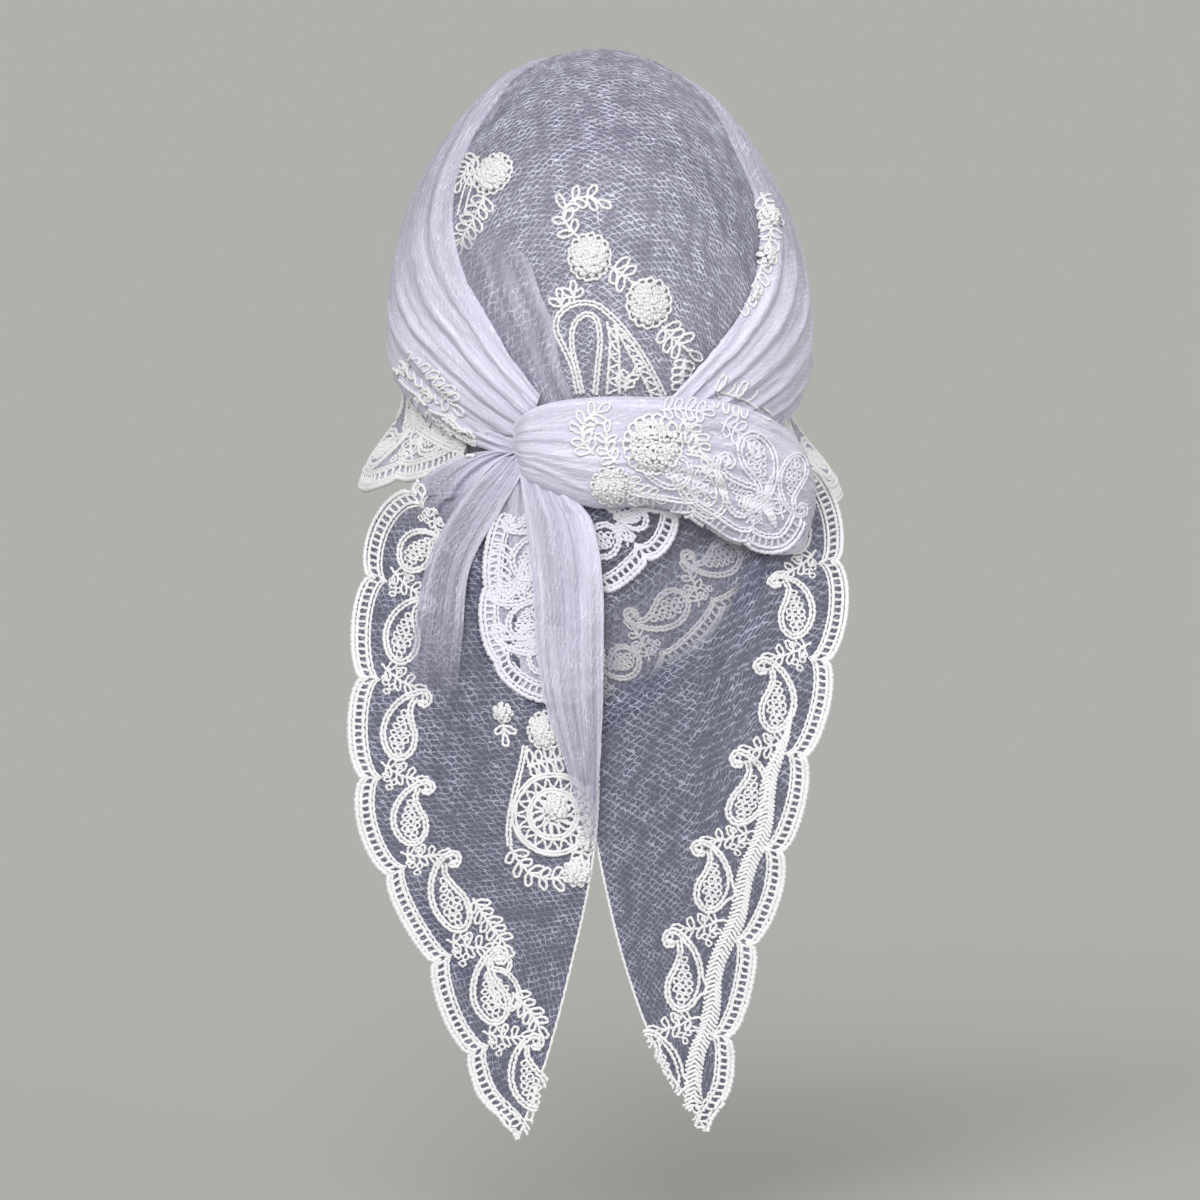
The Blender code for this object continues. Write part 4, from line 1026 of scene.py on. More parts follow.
def laid_on(tree, strands, edge_reach=0.0, steepest=0.0):
    """Strands in x and z, laid on the cloth as seen from behind.

    One that leaves the cloth is cut there, or is held on the nearest edge within edge_reach. It is also cut
    at a step in the cloth, and where the cloth turns away more than steepest allows.
    """
    fewest = 5 if steepest else 3
    laid = []
    for strand in strands:
        runs = [[]]
        for x, z in strand.points:
            hit, normal, _, _ = tree.ray_cast(Vector((x, -1.0, z)), FORWARDS, 1.02)
            steep = hit is not None and abs(normal.y) < steepest
            step = hit is not None and runs[-1] and abs(hit.y - runs[-1][-1][0].y) > CLOTH_STEP
            if hit is None and edge_reach:
                guess = Vector(hanging(np.array(x), np.array(z), np.array(LEFT_TAIL_LIFT)))
                hit, normal, _, _ = tree.find_nearest(guess, edge_reach)
                if hit is not None:
                    hit = Vector((x, hit.y, z))
            if hit is None or steep or step:
                runs.append([])
            if hit is not None and not steep:
                runs[-1].append((hit, -normal if normal.y > 0 else normal))
        for run in runs:
            if len(run) > fewest:
                points, normals = (np.array(part) for part in zip(*run))
                laid.append((points, normals, strand.radius, strand.lift))
    return laid


def mapped_on(surface, strands):
    """Strands in a surface's own two values, laid on it."""
    laid = []
    for points, radius in strands:
        here = surface(points[:, 0], points[:, 1])
        one = surface(points[:, 0] + PROBE, points[:, 1]) - here
        two = surface(points[:, 0], points[:, 1] + PROBE) - here
        laid.append((here, facing(unit(np.cross(one, two)), away_from_head(here)), radius, 0.0))
    return laid


def stitched_object(name, laid, finish="embroidery_thread", node=None):
    """Chain-stitched cords along laid strands, joined into one mesh. node is the solid that they stand for."""
    thread = bpy.context.scene.bandana_thread
    vertices, faces, start = [], [], 0
    angles = np.arange(THREAD_SIDES) * 2.0 * math.pi / THREAD_SIDES + math.pi / 2
    for points, normals, radius, lift in laid:
        tangent = unit(np.gradient(points, axis=0))
        across = unit(np.cross(tangent, normals))
        up = unit(np.cross(across, tangent))
        run = run_along(points)
        swell = thread.thickness * radius * (0.62 + 0.56 * np.abs(np.sin(math.pi * run / thread.stitch)))
        wander = 0.00014 * (np.sin(run * 1700.0 + start) + 0.7 * np.sin(run * 2900.0 + 2.0 * start))
        centre = points + up * (lift + 0.55 * radius) + across * wander[:, None]
        rings = (
            centre[:, None]
            + across[:, None] * (swell[:, None] * np.cos(angles))[..., None]
            + up[:, None] * (0.85 * swell[:, None] * np.sin(angles))[..., None]
        )
        index = start + np.arange(len(points) * THREAD_SIDES).reshape(-1, THREAD_SIDES)
        after = np.roll(index, -1, axis=1)
        faces.append(np.stack([index[:-1], after[:-1], after[1:], index[1:]], axis=-1).reshape(-1, 4))
        vertices.append(rings.reshape(-1, 3))
        start += index.size
    mesh = bpy.data.meshes.new(name)
    mesh.from_pydata(np.concatenate(vertices).tolist(), [], np.concatenate(faces).tolist())
    mesh.shade_smooth()
    piece = shown(name, mesh, finish)
    if node:
        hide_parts(node)
    return piece


# Settings and operators


def tint(name, description, *colour):
    return FloatVectorProperty(
        name=name, description=description, subtype="COLOR", size=4, min=0.0, max=1.0, default=colour + (1.0,)
    )


def distance_of(name, description, default, **limits):
    return FloatProperty(
        name=name, description=description, subtype="DISTANCE", unit="LENGTH", default=default, **limits
    )


class BandanaCloth(bpy.types.PropertyGroup):
    net_ground: tint("Net", "Colour of the net between its crinkles", 0.078, 0.080, 0.128)
    net_line: tint("Crinkle lines", "Colour of the net's crinkles", 0.47, 0.475, 0.60)
    gathered: tint("Gathered net", "Colour of several layers of net together", 0.79, 0.755, 0.93)
    gathered_line: tint("Gathered lines", "Colour of the fine lines on gathered net", 0.88, 0.85, 0.99)
    sheerness: FloatProperty(
        name="Sheerness", description="How far the net is seen through", subtype="FACTOR",
        min=0.0, max=0.9, default=0.36,
    )  # fmt: skip


class BandanaThread(bpy.types.PropertyGroup):
    colour: tint("Thread", "Colour of the embroidery thread", 0.865, 0.865, 0.885)
    stitch: distance_of("Stitch", "Length of one chain stitch", 0.0023, min=0.001, max=0.005)
    thickness: FloatProperty(
        name="Thickness", description="How thick the thread is, as a share of the usual one",
        min=0.5, max=2.0, default=0.96,
    )  # fmt: skip


class BandanaStage(bpy.types.PropertyGroup):
    floor_height: distance_of("Floor", "Height of the floor under the tails", -0.560)
    floor_colour: tint("Floor colour", "Colour of the plain floor", 0.4355, 0.4353, 0.4209)
    background: tint("Background", "Colour of the studio behind the floor", 0.440, 0.440, 0.414)
    camera_distance: distance_of("Camera distance", "From the camera to the knot", 3.2, min=1.0)
    camera_elevation: FloatProperty(
        name="Camera elevation", description="Height of the camera above the horizon", subtype="ANGLE",
        default=math.radians(4.0),
    )  # fmt: skip


class BANDANA_OT_crown(bpy.types.Operator):
    """Make the crown panel, the sheer net over the top and back of the head"""

    bl_idname = "bandana.crown"
    bl_label = "Crown Panel"

    def execute(self, context):
        rings, azimuths = np.linspace(0.012, 1.0, 110), np.linspace(-180.0, 180.0, 301)[:-1]
        ring, azimuth = np.meshgrid(rings, azimuths, indexing="ij")
        (rim,) = table_at(CROWN_RIM, np.abs(azimuth))
        polar = ring * rim
        points = crown_surface(azimuth, polar)
        reach = np.radians(polar) * CROWN_REACH
        uvs = points_of(reach * np.sin(np.radians(azimuth)), reach * np.cos(np.radians(azimuth)))
        out = away_from_head(points)
        wave = crinkle(uvs[..., 0], uvs[..., 1] * 1.6, *CROWN_CRINKLE)
        points = points + grid_normals(points, out) * wave[..., None]
        piece = cloth_object("crown_net", points, uvs, out, "crown_net", round_about=True)
        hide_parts("crown_panel")
        along, across = grid(70, 30)
        points, uvs = self.tuck_points(along, across), points_of(along * 0.10, across * 0.04)
        tuck = cloth_object("crown_tuck", points, uvs, BACKWARDS, "tuck_net")
        return {"FINISHED"}

    def tuck_points(self, along, across):
        """The loose fold on the crown, puffed a little way off it."""
        crown = tree_of("crown_net")
        outer_x, outer_z, inner_x, inner_z = table_at(CROWN_TUCK, along)
        x = outer_x + (inner_x - outer_x) * across + 0.0012 * np.sin(along * 13.0) * across
        z = outer_z + (inner_z - outer_z) * across
        puff = 0.0008 + 0.0016 * np.sin(math.pi * across) * np.sin(math.pi * along)
        points = np.empty(x.shape + (3,))
        for at in np.ndindex(x.shape):
            hit, normal, _, _ = crown.ray_cast(Vector((x[at], -1.0, z[at])), FORWARDS)
            points[at] = hit + (-normal if normal.y > 0 else normal) * puff[at]
        return points


class BANDANA_OT_side_rolls(bpy.types.Operator):
    """Make the gathered band that runs over the forehead and back to the knot on both sides"""

    bl_idname = "bandana.side_rolls"
    bl_label = "Side Rolls"

    def execute(self, context):
        along, across = grid(150, 84)
        halves = []
        for rows, creases, side in ((LEFT_ROLL, LEFT_ROLL_CREASES, -1), (RIGHT_ROLL, RIGHT_ROLL_CREASES, 1)):
            points = roll_surface(rows, creases, side, along, across)
            halves.append((points, points_of(side * along * 0.33, across * 0.12)))
        points, uvs = (np.concatenate([left[:0:-1], right]) for left, right in zip(*halves))
        out = away_from_head(points)
        wave = crinkle(uvs[..., 0] * 0.35, uvs[..., 1], *ROLL_CRINKLE)
        points = points + grid_normals(points, out) * wave[..., None]
        points, uvs = turned_edge(points, uvs, out, first=True, radius=0.0011, tuck=0.006)
        out = away_from_head(points)
        points, uvs = turned_edge(points, uvs, out, first=False, radius=0.0015, tuck=0.005)
        out = away_from_head(points)
        piece = cloth_object("side_rolls", points, uvs, out, "roll_net")
        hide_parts("left_roll", "right_roll")
        return {"FINISHED"}


class BANDANA_OT_ear_flaps(bpy.types.Operator):
    """Make the ear flaps with their scalloped, embroidered edges"""

    bl_idname = "bandana.ear_flaps"
    bl_label = "Ear Flaps"

    def execute(self, context):
        along, down = grid(130, 44)
        for name, rows, side, node in (
            ("left_flap_net", LEFT_FLAP, -1, "left_ear_flap"),
            ("right_flap_net", RIGHT_FLAP, 1, "right_ear_flap"),
        ):
            points, uvs = flap_surface(rows, side, along, down), points_of(along * 0.125, down * 0.05)
            piece = cloth_object(name, points, uvs, away_from_head(points), "flap_net")
            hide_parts(node)
            self.embroider(name, rows, side)
        return {"FINISHED"}

    def embroider(self, name, rows, side):
        def surface(distance, inset):
            along = np.clip(distance / FLAP_LENGTH, 0.0, 1.0)
            top, bottom, _ = table_at(rows, flap_azimuth(rows, along))
            return flap_surface(rows, side, along, np.clip(1.0 - inset / (top - bottom), 0.02, 1.0))

        def place(points, radius):
            keep = (points[:, 0] > 0.001) & (points[:, 0] < FLAP_LENGTH - 0.001)
            return points[keep], radius * 1.2

        pitch = FLAP_LENGTH / FLAP_SCALLOPS
        strands = border(FLAP_LENGTH, pitch, lambda s: 0.0 * s, place)
        for i in range(FLAP_SCALLOPS):

            def higher(points, radius, start=(i - 0.45) * pitch):
                return place(points + np.array([start, 0.0150]), radius)

            strands += paisley(higher)
        laid = mapped_on(surface, [s for s in strands if len(s[0]) > 4])
        stitched_object(name.replace("net", "lace"), laid)


class BANDANA_OT_back_corner(bpy.types.Operator):
    """Make the triangle's corner that hangs behind the tails, and its border"""

    bl_idname = "bandana.back_corner"
    bl_label = "Back Corner"

    def execute(self, context):
        across, down = grid(190, 70)
        points, uvs = corner_points(across, down), points_of(across * 0.17, down * 0.11)
        piece = cloth_object("back_corner_net", points, uvs, BACKWARDS, "corner_net")
        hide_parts("back_corner")
        along = np.linspace(0, 1, 400)
        edge = corner_points(along, np.ones(400), 0.0)[:, (0, 2)]
        distance, inward = run_along(edge), left_of(edge)

        def place(points, radius):
            return Strand(edge_place(edge, inward, distance, *points.T), radius)

        def out_at(s):
            return SCALLOP_DEPTH * 0.8 * scallop(np.interp(s, distance, along) * CORNER_SCALLOPS)

        strands = border(distance[-1], distance[-1] / CORNER_SCALLOPS, out_at, place)
        laid = laid_on(tree_of("back_corner_net"), strands, edge_reach=0.02)
        stitched_object("back_corner_border", laid, node="back_corner_lace")
        return {"FINISHED"}


def make_tail(name, rows, lift, creases, breadth, finish, begin=0.0, braid_from=None):
    """One tail's net, the tree to lay stitches on it, and the laid strands of its border from begin on.

    From braid_from on the border is folded, so that a braid lies between the edge and the paisleys.
    """
    plan = hang_plan(rows, lift, creases, breadth, SCALLOP_PITCH)
    length = plan.distance[-1]
    along, across = grid(260, 100, 0.999)
    points = hang_points(plan, along, across, TAIL_TOP_LIFT)
    uvs = points_of(along * length, across * breadth)
    if braid_from:
        uvs[..., 0] += 0.035 * (1.0 - smooth((uvs[..., 1] - 0.026) / 0.045)) - 0.56 * uvs[..., 1]
    net = cloth_object(name + "_net", points, uvs, BACKWARDS, finish)
    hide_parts(name)

    def place(points, radius):
        distance, inset = points[points[:, 0] >= begin].T
        if braid_from:
            inset = inset + 0.0075 * smooth((distance - braid_from) / 0.04) * smooth((inset - 0.0075) / 0.002)
        return Strand(border_place(plan, distance, inset), radius)

    strands = border(length, plan.pitch, lambda s: scallop_out(plan, s), place)
    if braid_from:
        side = np.linspace(-1.0, 1.0, 11)
        for start in np.arange(braid_from - 0.030, length - 0.008, BRAID_SPACING):
            half = BRAID_HALF_WIDTH * float(smooth((start - braid_from + 0.040) / 0.05))
            middle = BRAID_INSET + 0.0013 * math.sin(2.0 * math.pi * start / plan.pitch)
            stitch = border_place(plan, start + BRAID_POINT * np.abs(side), middle + half * side)
            strands.append(Strand(stitch, 0.00085, 0.0002))
    tree = tree_of(name + "_net")
    laid = laid_on(tree, [s for s in strands if len(s.points) > 3], edge_reach=0.004)
    hem = points[:, -1]
    laid.append((hem, np.broadcast_to(BACKWARDS, hem.shape), 0.0007, -0.0003))
    return net, tree, laid


class BANDANA_OT_tails(bpy.types.Operator):
    """Make the two hanging tails with their scalloped, embroidered borders"""

    bl_idname = "bandana.tails"
    bl_label = "Tails"

    def execute(self, context):
        net, tree, laid = make_tail(
            "left_tail", LEFT_TAIL, LEFT_TAIL_LIFT, LEFT_TAIL_CREASES, LEFT_TAIL_BREADTH, "tail_net", begin=0.040
        )
        inner_row = sprays(
            (((-58, -392), (-50, -404), (-43, -414)), 0.0062, 0.0032, 0.0048),
            (((-40, -436), (-34, -442), (-27, -452)), 0.0062, 0.0032, 0.0048),
        )
        for curl in (
            ((-52, -424), (-46, -418), (-41, -421), (-42, -426), (-46, -425)),
            ((-50, -424), (-41, -428), (-36, -438), (-41, -444), (-48, -438), (-51, -426)),
        ):
            inner_row += doubled(millimetres(*curl), 0.0014, 0.0007)
        inner_row += loops((-46, -431), (-43, -434), (-45, -437), (-42, -438), (-47, -434))
        folded = millimetres((-80, -392), (-68, -417), (-51, -438), (-40, -449), (-30.5, -468), (-25, -476))
        inner_row += doubled(folded, gap=0.0018, radius=0.0010, rows=5, lift=-0.0022)
        lace = stitched_object("left_tail_border", laid + laid_on(tree, inner_row), node="left_tail_lace")

        net, tree, laid = make_tail(
            "right_tail", RIGHT_TAIL, RIGHT_TAIL_LIFT, RIGHT_TAIL_CREASES, RIGHT_TAIL_BREADTH, "right_tail_net",
            braid_from=0.145,
        )  # fmt: skip
        behind = path_border(millimetres((2, -249), (14, -239), (26, -230), (35, -214)), 2)
        stitched_object("knot_under_stitches", laid_on(tree, behind), "soft_thread")
        lace = stitched_object("right_tail_border", laid, node="right_tail_lace")
        return {"FINISHED"}


class BANDANA_OT_knot(bpy.types.Operator):
    """Make the band wrapped over the knot, with its gathers"""

    bl_idname = "bandana.knot"
    bl_label = "Knot"

    def execute(self, context):
        rows, columns = np.linspace(0.0, 1.0, 190), 0.5 - 0.5 * np.cos(np.linspace(0.0, math.pi, 90))
        along, down = np.meshgrid(rows, columns, indexing="ij")
        base, puff = wrap_surface(along, down), wrap_puff(along, down)
        waves = crinkle(along * 0.05, down * 0.055, *WRAP_CRINKLE)
        puff = puff + waves * np.sqrt(4.0 * down * (1.0 - down))
        points = base + grid_normals(base, BACKWARDS) * puff[..., None]
        uvs = points_of(along * 0.14, down * 0.075)
        piece = cloth_object("knot_wrap_net", points, uvs, BACKWARDS, "wrap_net")
        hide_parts("knot_wrap")
        return {"FINISHED"}


class BANDANA_OT_centre_fold(bpy.types.Operator):
    """Make the gathered folds that hang from the knot's middle, and the lace on the one underneath"""

    bl_idname = "bandana.centre_fold"
    bl_label = "Centre Fold"

    def execute(self, context):
        along, across = grid(150, 60)
        for fold in FOLD_SHEETS:
            plan = hang_plan(fold.rows, fold.lift, fold.creases, fold.breadth)
            points = hang_points(plan, along, across, FOLD_TOP_LIFT)
            uvs = points_of(along * plan.distance[-1], across * fold.breadth * 1.4)
            if fold.edge:
                outward = np.broadcast_to(BACKWARDS, points.shape)
                points, uvs = turned_edge(points, uvs, outward, first=False, radius=fold.edge, tuck=0.003)
            piece = cloth_object(fold.name, points, uvs, BACKWARDS, fold.finish)
        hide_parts("centre_fold")
        edge = millimetres(
            (-45.5, -214), (-49.5, -236), (-51.5, -262), (-44.5, -286), (-24, -298.5), (-5, -295), (1.5, -276)
        )
        strands = path_border(edge, 4, 0.0025)
        for place in ((-32, -245, 0.95, 60), (-33, -272, 0.8, 20), (-30, -216, 0.7, 50)):
            strands += paisley_at(*place)
        strands += sprays((((-44, -226), (-46, -240), (-43, -252)), 0.0062, 0.0034, 0.0050))
        laid = laid_on(tree_of("under_fold_net"), strands, edge_reach=0.004)
        stitched_object("under_fold_stitches", laid, "soft_thread")
        return {"FINISHED"}


CROWN_SPRAYS = (
    (
        ((-9, -87), (-13.5, -82.5), (-16, -77.3), (-14.4, -72.7), (-10, -69.6), (-4.2, -68.6), (-0.1, -70.4)),
        0.0066, 0.0036, 0.0062,
    ),
    (((5.5, -100.5), (10.5, -103.5), (16, -108)), 0.0076, 0.0040, 0.0046, 1.15),
    (((29, -128), (35.1, -134.3), (42, -139.6)), 0.0074, 0.0040, 0.0044, 1.15),
    (((40, -143), (39, -149), (38.4, -157)), 0.0050, 0.0040, 0.0034, 1.1),
    (((-52, -67), (-55, -74), (-58.6, -80.6), (-61.9, -86.3), (-63.5, -90)), 0.0066, 0.0038, 0.0050),
    (((-55, -50), (-60, -54), (-64, -62)), 0.0056, 0.0030, 0.0044),
)  # fmt: skip
ARCH_SPRAYS = (
    (((12.5, -158), (13.5, -152), (16.5, -149)), 0.0050, 0.0030, 0.0040),
    (((-16.5, -121), (-17.3, -116)), 0.0056, 0.0032, 0.0050),
    (((-11, -117.5), (-11.2, -113)), 0.0060, 0.0032, 0.0060),
)


class BANDANA_OT_crown_embroidery(bpy.types.Operator):
    """Stitch the sprays, the rosettes and the pointed arch on the crown, and the flowers on the rolls"""

    bl_idname = "bandana.crown_embroidery"
    bl_label = "Crown Embroidery"

    def execute(self, context):
        crown = tree_of("crown_net")
        for node, centre, radius, squeeze, turn in (
            ("rosette_crown_left", (-0.0485, -0.0584), 0.0105, 0.72, 0.9),
            ("rosette_crown_middle", (-0.0039, -0.0961), 0.0108, 0.90, 1.5),
            ("rosette_crown_right", (0.0233, -0.1174), 0.0115, 0.90, 1.5),
        ):
            laid = laid_on(crown, rosette(centre, radius, 14, squeeze, turn))
            stitched_object(node + "_stitches", laid, node=node)

        strands = sprays(*CROWN_SPRAYS)
        strands += doubled(millimetres((-57, -56), (-61, -66), (-64, -78)), 0.0030, 0.0007)
        loose_end = curve_through(millimetres((-1.5, -70.5), (-0.3, -75), (0.1, -80.5)))
        strands.append(Strand(loose_end, 0.0003, 0.0002))
        arch = millimetres(
            (-9.2, -159.2), (-11.6, -147.7), (-15.7, -137.9), (-19.0, -130.5), (-18.9, -124.6), (-15.7, -120.2),
            (-9.2, -117.3), (-1.0, -117.9), (5.6, -122.8), (12.1, -129.7), (18.7, -138.7), (24.9, -149.4),
            (30.7, -160.8),
        )  # fmt: skip
        inner = millimetres(
            (-7.2, -159.2), (-9.9, -147.7), (-12.0, -137.9), (-11.7, -128.9), (-8.3, -123.8), (-3.9, -122.4),
            (-0.4, -125.6), (0.9, -134.6), (-0.1, -146.1), (-1.4, -159.2),
        )  # fmt: skip
        strands += doubled(arch, 0.0017) + doubled(inner, 0.0016)
        right_side = millimetres((7.2, -126.8), (13.0, -137.9), (19.3, -149.4), (24.9, -160.8))
        post = millimetres((4.0, -125.6), (5.4, -134.6), (4.9, -146.1), (4.0, -159.2))
        far_post = millimetres((8.2, -129.5), (9.6, -138.0), (9.9, -148.0), (10.0, -159.2))
        strands += [Strand(curve_through(line), THREAD_RADIUS) for line in (right_side, post, far_post)]
        strands += zigzag(arch[9:], right_side, 13) + zigzag(post, far_post, 11) + sprays(*ARCH_SPRAYS)

        stem = (76, -67), (79.5, -74), (81, -83), (79.5, -92), (76.5, -101), (72, -111), (65, -120)
        flowers = sprays((stem, 0.0064, 0.0036, 0.0052))
        flowers += rosettes(0.0046, 8, (80.5, -78.5), (78.5, -96.5), (71.0, -112.5))
        flowers += sprays((((52, -157.5), (60, -160), (68, -163), (74, -167)), 0.0078, 0.0034, 0.0050, 1.3))
        rolls = tree_of("side_rolls", "knot_wrap_net")
        laid = laid_on(crown, strands) + laid_on(rolls, flowers, steepest=0.34)

        side = []
        for place in ((-91, -163, 0.9, -48), (-75, -174, 0.8, -30), (-64, -179, 0.5, -24)):
            side += paisley_at(*place)
        stem = (-104, -147), (-96, -146), (-86, -149), (-76, -156), (-67, -165)
        side += sprays((stem, 0.0066, 0.0036, 0.0046))
        edge = millimetres((-99, -152), (-93, -169), (-82, -179), (-68, -185), (-56, -186))
        side += doubled(edge, gap=0.0019, radius=0.0010, rows=3)
        side += sprays((((103, -163), (101, -172), (98, -180)), 0.0062, 0.0034, 0.0048))
        both = tree_of("side_rolls", "left_flap_net", "right_flap_net", "left_tail_net")
        stitched_object("side_lace_stitches", laid_on(both, side, steepest=0.30))
        stitched_object("crown_stitches", laid)
        return {"FINISHED"}


class BANDANA_OT_knot_embroidery(bpy.types.Operator):
    """Stitch the rosettes, leaves and paisley that show on the knot"""

    bl_idname = "bandana.knot_embroidery"
    bl_label = "Knot Embroidery"

    def execute(self, context):
        knot = tree_of("knot_wrap_net", "right_tail_net")
        for node, centre, radius, petals in (
            ("rosette_knot_large", (0.0250, -0.1815), 0.0135, 18),
            ("rosette_knot_small", (0.0060, -0.2000), 0.0090, 12),
        ):
            stitched_object(node + "_stitches", laid_on(knot, rosette(centre, radius, petals)), node=node)

        edge = millimetres((13.4, -209), (28.7, -210), (49.5, -216.5), (65.7, -226.5), (84, -229), (95, -219))
        soft = path_border(edge, 3, 0.003)
        soft += paisley_at(74, -193, 1.0, 115) + paisley_at(90, -201, 0.8, 70, -1.0)
        soft += sprays(
            (((56, -172), (64, -176), (70, -183)), 0.0066, 0.0036, 0.0050),
            (((28, -166), (38, -165.5), (48, -167)), 0.0056, 0.0032, 0.0050),
        )
        stitched_object("knot_soft_stitches", laid_on(knot, soft, steepest=0.25), "soft_thread")

        strands = sprays(
            (((12, -196), (18, -203), (26, -206)), 0.0056, 0.0034, 0.0042),
            (((-2, -186), (-7, -179), (-6, -171), (0, -166.5)), 0.0064, 0.0036, 0.0046),
            (((9, -190), (4, -184), (4, -176)), 0.0056, 0.0030, 0.0046),
            (((38, -170), (44, -177), (48, -187)), 0.0058, 0.0034, 0.0042),
        )
        loop = millimetres(
            (34, -196), (41.5, -208), (51, -215), (58, -211), (57, -200), (49.5, -188), (40, -185)
        )
        strands += doubled(loop, 0.0018)
        strands.append(Strand(curve_through(loop * 0.62 + millimetres((18.2, -76.8))), 0.0007))
        strands += loops(
            (42, -193), (45, -198), (49, -202), (47, -193), (51, -197), (44, -203), (53, -205), (50, -208)
        )
        stitched_object("knot_stitches", laid_on(knot, strands))
        return {"FINISHED"}


class BANDANA_OT_medallion(bpy.types.Operator):
    """Stitch the round medallion, its sprays and its rosettes on the left tail"""

    bl_idname = "bandana.medallion"
    bl_label = "Medallion"

    def execute(self, context):
        middle = np.array([-0.0207, -0.3530])
        strands = [Strand(ring_at(middle, r, sides=60), 0.0009) for r in (0.0190, 0.0176, 0.0118, 0.0104)]
        turns = np.linspace(0.0, 2.0 * math.pi, 37)
        teeth = np.where(np.arange(37) % 2, 0.0120, 0.0174)
        teeth = middle + points_of(teeth * np.cos(turns), teeth * np.sin(turns))
        strands.append(Strand(even_points(teeth), 0.0007))
        strands += rosette(middle + np.array([0.0012, 0.0030]), 0.0060, 9)
        for k in range(11):
            angle = 2.0 * math.pi * (k + 0.3 * (k % 2)) / 11
            base = middle + 0.0040 * np.array([math.cos(angle), math.sin(angle)])
            strands.append(Strand(leaf_at(base, angle + 0.5, 0.0066, 0.0042), THREAD_RADIUS, 0.0002))
        strands += rosettes(0.0032, 6, (-5.5, -343), (-4.5, -349), (-4.2, -355), (-4.6, -361), (-5.6, -367))
        outline = (
            (-33.7, -321), (-36.2, -333), (-39.7, -349), (-41.2, -360), (-40.7, -367.9), (-36.7, -374.9),
            (-30.7, -380.9), (-23.7, -382.9), (-14.7, -382.4),
        )  # fmt: skip
        strands += doubled(millimetres(*outline[:5]), 0.0016)
        strands += sprays(
            (outline[4:], 0.0064, 0.0036, 0.0060),
            (((-33, -331), (-24, -328.5), (-13, -326.5)), 0.0064, 0.0034, 0.0042, 1.45),
        )
        strands += rosettes(0.0088, 12, (-23.7, -314)) + rosettes(0.0066, 10, (-9.8, -380))
        strands += sprays((((-5, -358), (-6, -366), (-8, -373)), 0.0046, 0.0034, 0.0030))
        strands += rosettes(0.0044, 7, (-43.7, -306))
        strands += sprays((((-43.7, -310), (-43, -316)), 0.0056, 0.0030, 0.0046))
        stitched_object("medallion_stitches", laid_on(tree_of("left_tail_net"), strands))
        return {"FINISHED"}


FLOOR_SIDES = 96
FLOOR_RADII = (0.05, 0.6, 2.0, 6.0, 20.0, 60.0)
VIEW_CENTRE = (0.0009, -0.10, -0.2546)
VIEW_HALF_WIDTH = 0.2778
SENSOR_WIDTH = 36.0
LIGHTS = (
    ("key", (-0.22, -0.82, 0.53), 2.42, 42.0),
    ("fill", (0.75, -0.62, 0.25), 0.85, 60.0),
    ("front", (0.35, 0.85, 0.40), 0.80, 60.0),
)


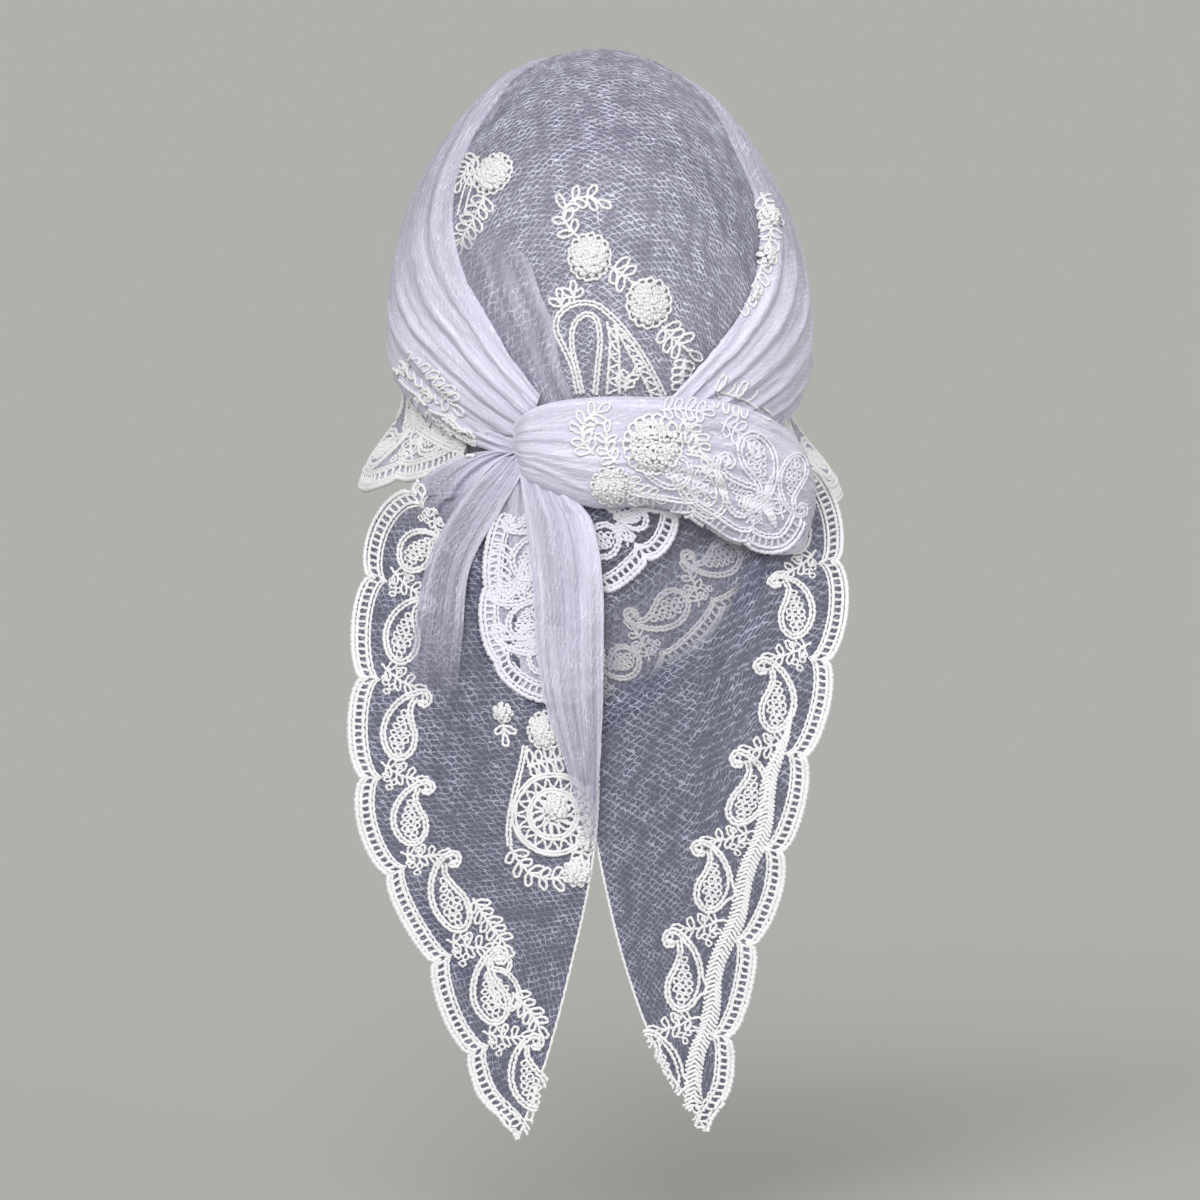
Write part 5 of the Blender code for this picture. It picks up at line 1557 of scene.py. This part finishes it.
class BANDANA_OT_stage(bpy.types.Operator):
    """Make the plain floor, the soft lights and the camera"""

    bl_idname = "bandana.stage"
    bl_label = "Stage"

    def execute(self, context):
        scene, stage = context.scene, context.scene.bandana_stage
        angle = np.linspace(0.0, 2.0 * math.pi, FLOOR_SIDES + 1)[:-1]
        radii = np.array(FLOOR_RADII)[:, None]
        points = points_of(radii * np.cos(angle), radii * np.sin(angle), stage.floor_height)
        index = np.arange(len(FLOOR_RADII) * FLOOR_SIDES).reshape(-1, FLOOR_SIDES)
        after = np.roll(index, -1, axis=1)
        faces = np.stack([index[:-1], index[1:], after[1:], after[:-1]], axis=-1).reshape(-1, 4).tolist()
        mesh = bpy.data.meshes.new("floor")
        mesh.from_pydata(points.reshape(-1, 3).tolist(), [], faces + [index[0].tolist()])
        material, tree, shader = new_finish("floor_paper", 1.0, 0.0, specular=0.0)
        grained(tree, shader, tuple(stage.floor_colour), 0.97, 900.0)
        mesh.materials.append(material)
        floor = bpy.data.objects.new("floor", mesh)
        scene.collection.objects.link(floor)
        floor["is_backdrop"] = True

        world = bpy.data.worlds.new("studio")
        world.use_nodes = True
        background = world.node_tree.nodes["Background"]
        background.inputs["Color"].default_value = tuple(stage.background)
        background.inputs["Strength"].default_value = 1.0
        scene.world = world
        for name, way, power, spread in LIGHTS:
            light = bpy.data.lights.new(name, "SUN")
            light.energy, light.angle = power, math.radians(spread)
            lamp = bpy.data.objects.new(name, light)
            lamp.location = Vector(way) * 3.0
            lamp.rotation_euler = (-Vector(way)).to_track_quat("-Z", "Y").to_euler()
            scene.collection.objects.link(lamp)

        target = Vector(VIEW_CENTRE)
        tilt, distance = stage.camera_elevation, stage.camera_distance
        camera = bpy.data.cameras.new("camera")
        camera.sensor_width = SENSOR_WIDTH
        camera.lens = SENSOR_WIDTH / 2.0 * distance / VIEW_HALF_WIDTH
        view = bpy.data.objects.new("camera", camera)
        view.location = target + Vector((0.0, -math.cos(tilt), math.sin(tilt))) * distance
        view.rotation_euler = (target - view.location).to_track_quat("-Z", "Y").to_euler()
        scene.collection.objects.link(view)
        scene.camera = view
        scene.view_settings.view_transform = "Standard"
        return {"FINISHED"}


STEPS = (
    BANDANA_OT_stage,
    BANDANA_OT_crown,
    BANDANA_OT_side_rolls,
    BANDANA_OT_ear_flaps,
    BANDANA_OT_back_corner,
    BANDANA_OT_tails,
    BANDANA_OT_knot,
    BANDANA_OT_centre_fold,
    BANDANA_OT_crown_embroidery,
    BANDANA_OT_knot_embroidery,
    BANDANA_OT_medallion,
)


class BANDANA_PT_panel(bpy.types.Panel):
    """The steps that dress the bandana"""

    bl_label = "Lace Bandana"
    bl_idname = "BANDANA_PT_panel"
    bl_space_type = "VIEW_3D"
    bl_region_type = "UI"
    bl_category = "Bandana"

    def draw(self, context):
        for step in STEPS:
            self.layout.operator(step.bl_idname)


SETTINGS = (
    ("bandana_cloth", BandanaCloth),
    ("bandana_thread", BandanaThread),
    ("bandana_stage", BandanaStage),
)


def register():
    for name, group in SETTINGS:
        bpy.utils.register_class(group)
        setattr(bpy.types.Scene, name, PointerProperty(type=group))
    for item in STEPS + (BANDANA_PT_panel,):
        bpy.utils.register_class(item)


def unregister():
    for item in reversed(STEPS + (BANDANA_PT_panel,)):
        bpy.utils.unregister_class(item)
    for name, group in reversed(SETTINGS):
        delattr(bpy.types.Scene, name)
        bpy.utils.unregister_class(group)


def main():
    register()
    for step in STEPS:
        family, name = step.bl_idname.split(".")
        getattr(getattr(bpy.ops, family), name)()
    boxes = {"cad": CAD_BOX, "visual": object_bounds()}
    {key: [list(corner) for corner in box] for key, box in boxes.items()}


if __name__ == "__main__":
    main()
